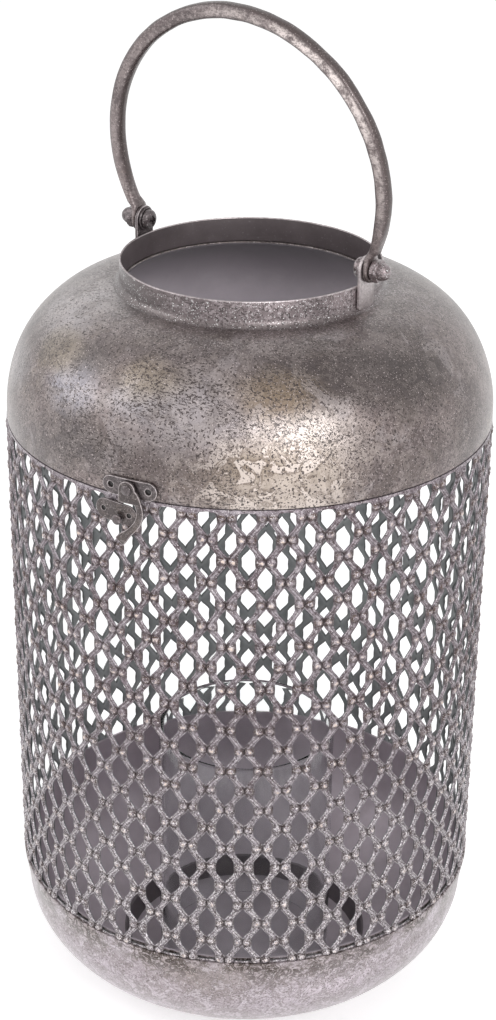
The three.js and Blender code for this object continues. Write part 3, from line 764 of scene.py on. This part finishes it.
# Glass chimney. A clear blown tube, open at both ends with fire-polished rims, that stands
# loose in the well round the candle.
chimney_radius = 48.5 * mm
chimney_wall = 2.5 * mm
chimney_bottom = 1.4 * mm
chimney_top = 149.4 * mm
rim_radius = chimney_wall / 2
rim_middle = chimney_radius - rim_radius
chimney_rim = arc(rim_radius, np.linspace(0, pi, 9), rim_middle)
chimney_walls = np.linspace(chimney_bottom + 2 * mm, chimney_top - 2 * mm, 13)
chimney_outline = [(chimney_radius, z) for z in chimney_walls]
chimney_outline += [(r, chimney_top - rim_radius + z) for r, z in chimney_rim]
chimney_outline += [(chimney_radius - chimney_wall, z) for z in chimney_walls[::-1]]
chimney_outline += [(r, chimney_bottom + rim_radius - z) for r, z in chimney_rim[::-1]]
chimney_outline.append(chimney_outline[0])
chimney = make_piece("chimney", *turned(chimney_outline, 96))
beat_unevenly(chimney, 0.2 * mm, 30 * mm, 5)
glass, shader, place = shader_for("clear_glass")
smears = product(clouds(place, 0.45, 0.75, 40, 5), 0.12)
wire(shader, {"Base Color": (0.96, 0.98, 0.975), "Transmission Weight": 1.0})
wire(shader, {"IOR": 1.27, "Roughness": smears})
relief(shader, grain(place, 45, 2, 0.4), 0.25 * mm)
finish_in(chimney, glass)
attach(chimney, "glass")
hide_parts("glass_chimney")

# Lid dome. A steel sheet spun into a flat-topped dome with a short upright skirt and a round
# mouth, lacquered and rubbed back to a mottled pewter with a warm bloom.
dome_bottom = 339.4 * mm
dome_skirt_top = 343.5 * mm
dome_top_height = 406.5 * mm
dome_radius = 124 * mm
shoulder_radius = 65.7 * mm
mouth_radius = 63.5 * mm
dome_sheet = 1.2 * mm
dome_outer = pressed_curve(shoulder_radius, dome_skirt_top, 58.3 * mm, 63 * mm, 2.08, 44)
dome_inner = pressed_curve(shoulder_radius, dome_skirt_top, 57.1 * mm, 61.8 * mm, 2.08, 44)
dome_outline = [
    (dome_radius - dome_sheet, dome_bottom),
    (dome_radius - 0.3 * mm, dome_bottom),
    (dome_radius, dome_bottom + 0.3 * mm),
    (dome_radius, dome_bottom + 2 * mm),
    *dome_outer[:-1],
    (shoulder_radius, dome_top_height),
    (mouth_radius + 0.4 * mm, dome_top_height),
    (mouth_radius, dome_top_height - 0.4 * mm),
    (mouth_radius, dome_top_height - dome_sheet),
    *dome_inner[::-1],
    (dome_radius - dome_sheet, dome_bottom),
]
dome = make_piece("dome", *turned(dome_outline, 180))

mouth_shade_brown, mouth_painted_glints = (0.14, 0.118, 0.118), (0.55, 0.5, 0.5)
dirt_brown, rubbed_grey = (0.115, 0.09, 0.08), (0.42, 0.375, 0.38)
front_gilt, front_flake, front_edge = (0.37, 0.285, 0.205), (0.7, 0.61, 0.56), (0.15, 0.11, 0.085)
painted_shade_tint = (0.07, 0.055, 0.053)
# Clouds at set places on the dome. The pale, lilac and cream ones are painted reflections and highlights,
# the dark ones painted shade, and the gold and tan ones a warm patina.
dome_patina_and_light_patches = (
    (70, -70, 393, 38, 0.92, (0.07, 0.053, 0.052)),
    (102, -32, 388, 42, 0.9, (0.058, 0.045, 0.044)),
    (-34, -52, 406, 22, 0.6, (0.1, 0.083, 0.085)),
    (-66, -58, 402, 40, 0.7, (0.55, 0.51, 0.52)),
    (-34, -95, 393, 20, 0.8, (0.095, 0.077, 0.077)),
    (-64, -106, 346, 34, 0.65, (0.095, 0.08, 0.083)),
    (26, -112, 378, 46, 0.65, (0.43, 0.39, 0.405)),
    (-20, -88, 397, 20, 0.5, (0.15, 0.12, 0.115)),
    (-30, -119, 360, 36, 0.8, (0.1, 0.085, 0.087)),
    (-38, -110, 372, 22, 0.55, (0.13, 0.11, 0.112)),
    (-42, -106, 380, 26, 0.55, (0.33, 0.325, 0.38)),
    (-4, -111, 382, 24, 0.45, (0.35, 0.335, 0.36)),
    (-59, -90, 390, 22, 0.65, (0.32, 0.265, 0.18)),
    (-90, -75, 372, 26, 0.45, (0.5, 0.48, 0.5)),
    (-66, -95, 392, 22, 0.6, (0.14, 0.115, 0.11)),
    (-2, -104, 391, 22, 0.6, (0.26, 0.205, 0.14)),
    (74, -94, 364, 40, 0.72, (0.6, 0.53, 0.49)),
    (68, -104, 345, 40, 0.8, (0.7, 0.62, 0.575)),
    (80, -86, 376, 24, 0.55, (0.62, 0.55, 0.51)),
    (58, -92, 389, 26, 0.75, (0.235, 0.17, 0.11)),
    (55, -109, 360, 17, 0.65, (0.25, 0.2, 0.155)),
)
# A last layer of painted shade in four dark clouds.
painted_shade_patches = (
    (94, -48, 393, 36, 0.5, painted_shade_tint),
    (-34, -97, 391, 22, 0.4, painted_shade_tint),
    (-30, -50, 406, 22, 0.5, painted_shade_tint),
    (16, -120, 361, 32, 0.3, painted_shade_tint),
)


def dome_bloom(place, colour):
    """Brown painted shade near the mouth, painted reflections, painted shade and gilt clouds, painted glint
    specks by the mouth, cream flakes in front that are partly painted highlight, and painted shade over
    all.
    """
    # Brown painted shade high on the dome near the mouth, and painted glint specks right by it.
    colour = lay(colour, mouth_shade_brown, height_share(place, 385 * mm, 404 * mm), 0.4)
    colour = lay_patches(place, colour, dome_patina_and_light_patches)
    by_mouth = height_share(place, 400 * mm, 406.5 * mm)
    flake, edge = flaking(place, 120, 0.6, 0.05)
    # The front cloud is gilt bloom and painted highlight together; the cream flakes show mostly there.
    in_front = patch(place, (64, -104, 355), 50)
    shown = reckon("MINIMUM", reckon("ADD", in_front, 0.12), 1)
    colour = lay_all(
        colour,
        (mouth_painted_glints, by_mouth, clouds(place, 0.56, 0.62, 1000, 2), 0.7),
        (dirt_brown, clouds(place, 0.5, 0.6, 62, 6, 0.7, 0.6), 0.4),
        (rubbed_grey, clouds(place, 0.54, 0.62, 48, 6, 0.72, 0.6), 0.35),
        (front_gilt, in_front, 0.42), (front_flake, flake, shown, 0.75), (front_edge, edge, shown, 0.7),
    )
    return lay_patches(place, colour, painted_shade_patches)


dome_metal = aged_pewter(
    "dome_metal", (0.205, 0.162, 0.157), (0.115, 0.087, 0.085), (0.37, 0.315, 0.31), (0.28, 0.215, 0.165),
    worn_share=0.35, gilt_share=0.5, pits=0.95, finish=dome_bloom,
)
# The inside of the dome is painted darker higher up, as shade.
dome_shade_heights = (350 * mm, 400 * mm)
dome_lining = lining("dome_lining", (0.46, 0.41, 0.45), (0.56, 0.5, 0.545), shade_above=dome_shade_heights)
finish_in(dome, dome_metal, dome_lining)
for face in dome.data.polygons:
    out = Vector((face.center.x, face.center.y, 0)).normalized()
    away = Vector((out.x * 0.6, out.y * 0.6, 0.8))
    if face.normal.dot(away) < 0 and face.center.z > dome_bottom + 0.2 * mm:
        face.material_index = 1
beat_unevenly(dome, 0.3 * mm, 32 * mm, 7)
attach(dome, "lid")
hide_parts("lid_dome")

# Collar. A steel strip rolled into a low ring and brazed round the dome's mouth, with a soft
# hollow fillet along its foot and a rubbed, bright top edge.
collar_radius = 65.7 * mm
collar_sheet = 1 * mm
collar_bottom = 406.8 * mm
collar_top = 419.5 * mm
fillet_width = 4.6 * mm
fillet_height = 4.2 * mm
fillet_foot = collar_bottom - 0.6 * mm
fillet = [
    (collar_radius + fillet_width * (1 - sin(a)), fillet_foot + fillet_height * (1 - cos(a)))
    for a in np.linspace(0, pi / 2, 9)
]
collar_outline = [
    (collar_radius - collar_sheet, collar_bottom),
    (collar_radius, collar_bottom - 0.5 * mm),
    (collar_radius + fillet_width, collar_bottom - 0.75 * mm),
    *fillet,
    (collar_radius, collar_top - 0.5 * mm),
    (collar_radius - 0.2 * mm, collar_top - 0.1 * mm),
    (collar_radius - 0.5 * mm, collar_top),
    (collar_radius - 0.8 * mm, collar_top - 0.1 * mm),
    (collar_radius - collar_sheet, collar_top - 0.5 * mm),
    (collar_radius - collar_sheet, collar_bottom),
]
collar = make_piece("collar_ring", *turned(collar_outline, 144))
collar_shade_brown, foot_grey = (0.085, 0.066, 0.066), (0.16, 0.132, 0.13)


def collar_shade(place, colour):
    """Brown painted shade towards its left front, and as the dome along its foot."""
    colour = lay(colour, collar_shade_brown, patch(place, (-40, -52, 413), 40, 1), 0.8)
    return lay(colour, foot_grey, height_share(place, 411.2 * mm, 407.2 * mm), 0.75)


collar_metal = aged_pewter(
    "collar_metal", (0.27, 0.218, 0.225), (0.15, 0.12, 0.124), (0.52, 0.46, 0.475), (0.25, 0.2, 0.165),
    pits=0.9, painted_glints=1.0, finish=collar_shade,
)
# The collar's inside gets a near-black copy of the lining: painted shade.
collar_shade_lining = lining("collar_shade_lining", (0.068, 0.053, 0.056), (0.115, 0.094, 0.098))
finish_in(collar, collar_metal, collar_shade_lining, edge_metal)
for face in collar.data.polygons:
    out = Vector((face.center.x, face.center.y, 0))
    if face.center.z > collar_top - 0.6 * mm:
        face.material_index = 2
    elif face.normal.dot(out) < 0:
        face.material_index = 1
beat_unevenly(collar, 0.2 * mm, 22 * mm, 9)
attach(collar, "lid")
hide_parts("collar")

# Latch. A stadium-shaped plate welded to the lid's skirt, with an empty hole at each end that is
# backed by a black disc of painted shade, and a flat hook with a curled tail that hangs from a
# round rivet through the plate's middle.
latch_height = 344.35 * mm
plate = welded_plate(
    "latch_plate_worn", fitting_metal, (28.7 * mm, 9.3 * mm), 1.4 * mm, 0.35 * mm,
    (9.9 * mm, 1.6 * mm), circle(0, 0, 1.8 * mm), 124.3 * mm, latch_height,
)
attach(plate, "lid")
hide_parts("latch_plate")

hook_front = 128 * mm
hook_thickness = 1.4 * mm
hook_bow = 6.75 * mm
hook_drop = 20.7 * mm
hook_tail_reach = 4.4 * mm
hook_tail_drop = 6.7 * mm
hook_tab_width = 9.4 * mm
hook_tab_drop = 6.8 * mm
hook_head_radius = 4.3 * mm
hook_half_width = 1.75 * mm
hook_tail_half_width = 2.7 * mm
hook_steps = 70


def smooth_line(corners, steps):
    """Points of a smooth line through corners, each as its place and its direction."""
    corners = [Vector(c) for c in corners]
    ends = [corners[0] * 2 - corners[1], *corners, corners[-1] * 2 - corners[-2]]
    line = []
    for i in range(steps + 1):
        share = i / steps * (len(corners) - 1)
        k = min(int(share), len(corners) - 2)
        t = share - k
        a, b, c, d = ends[k:k + 4]
        slope, bend, twist = c - a, 2 * a - 5 * b + 4 * c - d, 3 * b - a - 3 * c + d
        place = 0.5 * (2 * b + slope * t + bend * t ** 2 + twist * t ** 3)
        line.append((place, (slope + 2 * bend * t + 3 * twist * t ** 2).normalized()))
    return line


hook_line = smooth_line([
    (0, 0), (hook_bow * 0.6, -hook_drop * 0.1), (hook_bow * 0.94, -hook_drop * 0.38),
    (hook_bow, -hook_drop * 0.57), (hook_bow * 0.78, -hook_drop * 0.79), (hook_bow * 0.27, -hook_drop),
    (-hook_tail_reach * 0.41, -hook_drop - hook_tail_drop * 0.54),
    (-hook_tail_reach, -hook_drop - hook_tail_drop),
], hook_steps)
left_side, right_side = [], []
for i, (place, along) in enumerate(hook_line):
    flare = min(1, max(0, (i / hook_steps - 0.7) / 0.25))
    half = hook_half_width + (hook_tail_half_width - hook_half_width) * flare * flare * (3 - 2 * flare)
    side = Vector((-along.y, along.x)) * half
    inside, outside = place - side, place + side
    if inside.y < -hook_tab_drop and inside.x > 0 or i > hook_steps / 2:
        left_side.append(tuple(inside))
    if outside.length > hook_head_radius + 0.1 * mm:
        right_side.append(tuple(outside))
head_start = atan2(right_side[0][1], right_side[0][0])
head = arc(hook_head_radius, np.linspace(pi, head_start, 34)[:-1])
tab = [
    (hook_tab_width / 2 - 0.5 * mm, -hook_tab_drop), (0, -hook_tab_drop),
    (-hook_tab_width / 2 + 0.4 * mm, -hook_tab_drop), (-hook_tab_width / 2, -hook_tab_drop + 0.4 * mm),
    (-4.5 * mm, -hook_tab_drop / 2),
]
hook_outline = left_side[::-1] + tab + head + right_side
stood_up = Matrix.Rotation(radians(90), 4, "X")
hook = piece_from(sheet_blank(hook_outline, [circle(0, 0, 1.8 * mm)], hook_thickness, 0.35 * mm), "hook")
hook_back = hook_thickness / 2 - hook_front
hook.data.transform(Matrix.Translation((0, hook_back, latch_height)) @ stood_up)
finish_in(hook, catch_metal, edge_metal)
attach(hook, "latch")
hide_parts("latch_hook")

rivet_outline = [
    (0, 124.6), (1.5, 124.6), (1.5, 126), (2.1, 126), (2.1, 126.3), (1.5, 126.3), (1.5, 128.3),
    *dome_top(2.6, 128.3, 1.1),
]
rivet = make_piece("hook_rivet", *turned(in_mm(rivet_outline), 32))
at_rivet = Matrix.Translation((0, 0, latch_height)) @ Matrix.Rotation(latch_middle, 4, "Z")
rivet.data.transform(at_rivet @ out_of_drum)
finish_in(rivet, fitting_metal)
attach(rivet, "lid")
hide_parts("latch_rivet")

# Handle lugs. On each side of the collar a flat strip stands up with a rounded top. A round
# headed screw with a cross recess goes out through a washer, lug and handle into an acorn nut.
bolt_height = 427 * mm
handle_turn = radians(-8)
lug_width = 13.4 * mm
lug_inner = 66 * mm
lug_thickness = 1.6 * mm
at_bolts = Matrix.Translation((0, 0, bolt_height))
on_lug_circle = Matrix.Translation((lug_inner + lug_thickness / 2, 0, 0))


def hollow_out(piece, *cutters):
    """Cuts tools out of a piece and clears them away."""
    for cutter in cutters:
        cut = piece.modifiers.new("cut", "BOOLEAN")
        cut.operation = "DIFFERENCE"
        cut.solver = "EXACT"
        cut.object = cutter
    mesh = worked_out(piece)
    piece.modifiers.clear()
    piece.data = mesh
    for cutter in cutters:
        bpy.data.objects.remove(cutter)
    mesh.shade_smooth()
    mesh.set_sharp_from_angle(angle=radians(40))


def box_cutter(*sides):
    """A block for cutting the recess, by its three sides."""
    block = bmesh.new()
    place = Matrix.Translation((0, 0, recess_middle)) @ Matrix.Diagonal((*sides, 1))
    bmesh.ops.create_cube(block, size=1, matrix=place)
    return piece_from(block, "cutter")


lug_foot = 407.1 * mm - bolt_height
lug_top = lug_width / 2
lug_outline = [
    (-lug_top + 1.5 * mm, lug_foot), (lug_top - 1.5 * mm, lug_foot),
    (lug_top, lug_foot + 1.5 * mm), *arc(lug_top, np.linspace(0, pi, 24)),
    (-lug_top, lug_foot + 1.5 * mm),
]
washer_outline = [
    (2.8, 64.7), (5.6, 64.7), (5.8, 64.9), (5.8, 65.5), (5.6, 65.7), (2.8, 65.7), (2.8, 64.7),
]
screw_base = 63.2
screw_outline = [
    *[(r, 2 * screw_base - z) for r, z in dome_top(5, screw_base, 2.4)][::-1],
    (5, 64.2), (4.8, 64.4), (2.5, 64.4), (2.5, 76.3), (2.2, 76.6), (0, 76.6),
]
recess = (5 * mm, 1.3 * mm)
recess_depth = 3.2 * mm
recess_middle = 60.8 * mm
# The nut is turned with a closed dome, and then flattened on six sides.
nut_outline = [
    (0, 76.9), (2.8, 76.9), (2.8, 71), (4.9, 71), (5.3, 71.3), (5.8, 71.8), (5.8, 74.3), (5.2, 74.9),
    (4.4, 75.0), (4.3, 75.2), (4.3, 75.7), (4.1, 76.9), (3.5, 78.2), (2.6, 79.2), (1.4, 79.8), (0, 80.0),
]
nut_half_width = 5 * mm
nut_points, nut_faces = turned(in_mm(nut_outline), 72)
for i, (x, y, z) in enumerate(nut_points):
    off_corner = (atan2(y, x) + pi / 6) % (pi / 3) - pi / 6
    radius, flat = hypot(x, y), nut_half_width / cos(off_corner)
    if radius > flat and (71 * mm < z < 75 * mm or radius > 4.5 * mm):
        nut_points[i] = (x * flat / radius, y * flat / radius, z)

for end, turn in (("right", handle_turn), ("left", handle_turn + pi)):
    round_bolt = at_bolts @ Matrix.Rotation(turn, 4, "Z")
    form = sheet_blank(lug_outline, [circle(0, 0, 2.8 * mm)], lug_thickness, 0.3 * mm)
    lug = piece_from(form, f"lug_{end}")
    lug.data.transform(round_bolt @ on_lug_circle @ Matrix.Rotation(radians(90), 4, "Z") @ stood_up)
    # The right lug takes the pale worn finish and the left one the dark fitting finish: painted light and
    # painted shade.
    finish_in(lug, edge_metal if end == "right" else fitting_metal, edge_metal)
    washer = make_piece(f"washer_{end}_worn", *turned(in_mm(washer_outline), 40))
    screw = make_piece(f"screw_{end}", *turned(in_mm(screw_outline), 40))
    hollow_out(screw, *[box_cutter(*sides, recess_depth) for sides in (recess, recess[::-1])])
    nut = make_piece(f"nut_{end}", nut_points, nut_faces, 32)
    for piece in (washer, screw, nut):
        piece.data.transform(round_bolt @ out_of_drum)
        piece.data.materials.clear()
        # The right washer, screw and nut take the paler collar finish and the left ones the dark finish:
        # painted light and shade.
        finish_in(piece, collar_metal if end == "right" else fitting_metal)
    for piece, node in ((lug, "ear"), (washer, "washer"), (screw, "bolt"), (nut, "acorn_nut")):
        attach(piece, "lid")
        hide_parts(f"{node}_{end}")

# Handle. A round steel rod bent to more than half a circle, its two ends hammered flat and
# drilled for the bolts. The hammering leaves soft facets along it, and hands rub it bright.
arch_radius = 78 * mm
arch_rise = 39.8 * mm
arch_sweep = radians(112.5)
rod_half_width = 3.8 * mm
rod_half_depth = 3.3 * mm
eye_middle = 69.3 * mm
eye_radius = 6.5 * mm
eye_half_thickness = 1.4 * mm
handle_lean = radians(8)
rod_sides = 24
beaten_above = 12 * mm

# Places along half of the rod, each with its direction outwards, half width and half depth.
stations = []
for drop in np.linspace(-1, 0, 7):
    width = max(0.05, sqrt(1 - drop ** 2)) * eye_radius
    stations.append((eye_middle, drop * eye_radius, pi / 2, eye_half_thickness, width))
for up, width in ((1.6, 6.35), (3.2, 6.0), (4.8, 5.5), (6.2, 5.1), (7.4, 4.6)):
    neck = max(0, up - 6)
    thickness = eye_half_thickness * (1 + neck * 0.25)
    stations.append((eye_middle + neck * 0.35 * mm, up * mm, radians(94), thickness, width * mm))
for share in np.linspace(0, 1, 60):
    angle = arch_sweep * (1 - share)
    ease = min(1, share / 0.16)
    ease = ease * ease * (3 - 2 * ease)
    along, up = arch_radius * sin(angle), arch_rise + arch_radius * cos(angle)
    width, depth = rod_half_width * (0.62 + 0.38 * ease), rod_half_depth * (1.22 - 0.22 * ease)
    stations.append((along, up, angle, width, depth))
stations += [(-along, up, -angle, width, depth) for along, up, angle, width, depth in stations[-2::-1]]
points = []
for along, up, outward, half_width, half_depth in stations:
    for i in range(rod_sides):
        turn = 2 * pi * i / rod_sides
        square = (abs(cos(turn)) ** 3 + abs(sin(turn)) ** 3) ** (-1 / 3)
        reach, depth = half_width * cos(turn) * square, half_depth * sin(turn) * square
        points.append((along + reach * sin(outward), depth, up + reach * cos(outward)))
faces = ring_faces(len(stations), rod_sides)
faces.append(tuple(range(rod_sides)))
faces.append(tuple(range(len(points) - rod_sides, len(points))))
handle = make_piece("handle_rod", points, faces, 60)
for vertex in handle.data.vertices:
    if vertex.co.z > beaten_above:
        beat = noise.noise(vertex.co / (9 * mm) + Vector((4, 8, 12)))
        middle = Vector((0, 0, arch_rise))
        out = (vertex.co - middle).normalized()
        vertex.co += out * beat * 0.3 * mm + Vector((0, beat * 0.25 * mm, 0))
bore_outline = in_mm([(0, 60), (2.8, 60), (2.8, 74), (0, 74)])
bores = []
for side in (-1, 1):
    bore = make_piece("cutter", *turned(bore_outline, 32))
    bore.data.transform(Matrix.Rotation(side * radians(90), 4, "Y"))
    bores.append(bore)
hollow_out(handle, *bores)
# Marks the middle of the rod's front and back faces, where it is pale: partly rubbing and partly painted
# sheen.
rubbed_and_sheen = []
for vertex in handle.data.vertices:
    off_middle = hypot(vertex.co.x, vertex.co.z - arch_rise) - arch_radius
    rubbed_and_sheen.append(max(0, 1 - (off_middle / rod_half_width) ** 2))
mark_points(handle.data, "rubbed_and_sheen", rubbed_and_sheen)
upright_turn = Matrix.Rotation(handle_turn, 4, "Z")
handle.data.transform(at_bolts @ upright_turn @ Matrix.Rotation(handle_lean, 4, "X"))
# Brown edges are partly tarnish and partly painted shade, the pale middle partly rubbing and partly painted
# sheen, the cream a painted highlight.
edge_brown_shade, middle_pale_sheen, right_highlight_cream = (0.085, 0.062, 0.06), (0.44, 0.37, 0.36), (0.88, 0.78, 0.75)


def handle_rub(place, colour):
    """Pale along the middle of the rod and brown along its edges, partly wear and partly painted sheen and
    shade, with a painted highlight palest at the right and top.
    """
    rub_and_sheen = read_mark(place, "rubbed_and_sheen")
    along_middle = ramp(rub_and_sheen, 0.45, 0.95)
    colour = lay(colour, edge_brown_shade, ramp(rub_and_sheen, 0.75, 0.1))
    colour = lay(colour, middle_pale_sheen, along_middle, clouds(place, 0.3, 0.6, 60), 0.4)
    bright = patch(place, (50, -6, 520), 78, 1)
    return lay(colour, right_highlight_cream, bright, along_middle, clouds(place, 0.4, 0.56, 150, 5, 0.7))


handle_metal = aged_pewter(
    "handle_metal", (0.125, 0.095, 0.096), (0.09, 0.068, 0.07), (0.36, 0.31, 0.305), (0.3, 0.22, 0.17),
    worn_share=0.3, gilt_share=0.6, painted_glints=0.5, finish=handle_rub,
)
handle.data.materials.clear()
finish_in(handle, handle_metal)
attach(handle, "handle")
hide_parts("handle")

# Studio. A white floor that keeps the lantern's shadow, a white room, two large soft lamps
# and the camera where the photograph was taken from.


def seen_directly(tree):
    """1 where the camera looks, also through the glass and in the metal, otherwise 0."""
    ray = tree.nodes.new("ShaderNodeLightPath").outputs
    seen = reckon("MAXIMUM", ray["Is Camera Ray"], ray["Is Transmission Ray"])
    return reckon("MAXIMUM", seen, ray["Is Glossy Ray"])


bpy.ops.mesh.primitive_plane_add(size=12, location=(0, 0, 0))
floor = bpy.context.object
floor.name = "floor"
white, shader, place = shader_for("white_floor")
glow = product(seen_directly(white.node_tree), 0.42)
wire(shader, {"Base Color": (0.93, 0.93, 0.93), "Roughness": 0.9, "Specular IOR Level": 0.0})
wire(shader, {"Emission Color": (1, 1, 1), "Emission Strength": glow})
finish_in(floor, white)

scene = bpy.context.scene
world = bpy.data.worlds.new("white_room")
scene.world = world
world.use_nodes = True
level = reckon("MULTIPLY_ADD", seen_directly(world.node_tree), 0.35, 0.65)
wire(world.node_tree.nodes["Background"], {"Color": (1, 1, 1), "Strength": level})

lamps_aim = Vector((0, 0, 0.25))
for name, place, size, power in (
    ("key_lamp", (1.25, -1.15, 1.22), 0.8, 15),
    ("fill_lamp", (-1.55, -0.75, 1.3), 1.2, 9),
):
    lamp = bpy.data.lights.new(name, "AREA")
    lamp.shape = "SQUARE"
    lamp.size = size
    lamp.energy = power
    holder = add_object(name, lamp)
    holder.location = place
    holder.rotation_euler = (lamps_aim - Vector(place)).to_track_quat("-Z", "Y").to_euler()

camera_distance = 1.08163
camera_height_above = radians(25.6415)
camera_round = radians(26.3)
look_at = Vector((0, 0, 0.27997))
back = Vector((
    sin(camera_round) * cos(camera_height_above),
    -cos(camera_round) * cos(camera_height_above),
    sin(camera_height_above),
))
film_width = 36
photo_height = 1020
lens_in_pixels = 2054.8152
shift_in_pixels = -0.6047
camera_roll = radians(0.62)
lens = bpy.data.cameras.new("camera")
lens.sensor_width = film_width
lens.lens = lens_in_pixels * film_width / photo_height
lens.shift_x = shift_in_pixels / photo_height
lens.clip_start = 0.01
lens.clip_end = 50
camera = add_object("camera", lens)
camera.location = look_at + back * camera_distance
aim = (-back).to_track_quat("-Z", "Y")
camera.rotation_mode = "QUATERNION"
camera.rotation_quaternion = aim @ Matrix.Rotation(camera_roll, 3, "Z").to_quaternion()
scene.camera = camera
scene.view_settings.view_transform = "Standard"
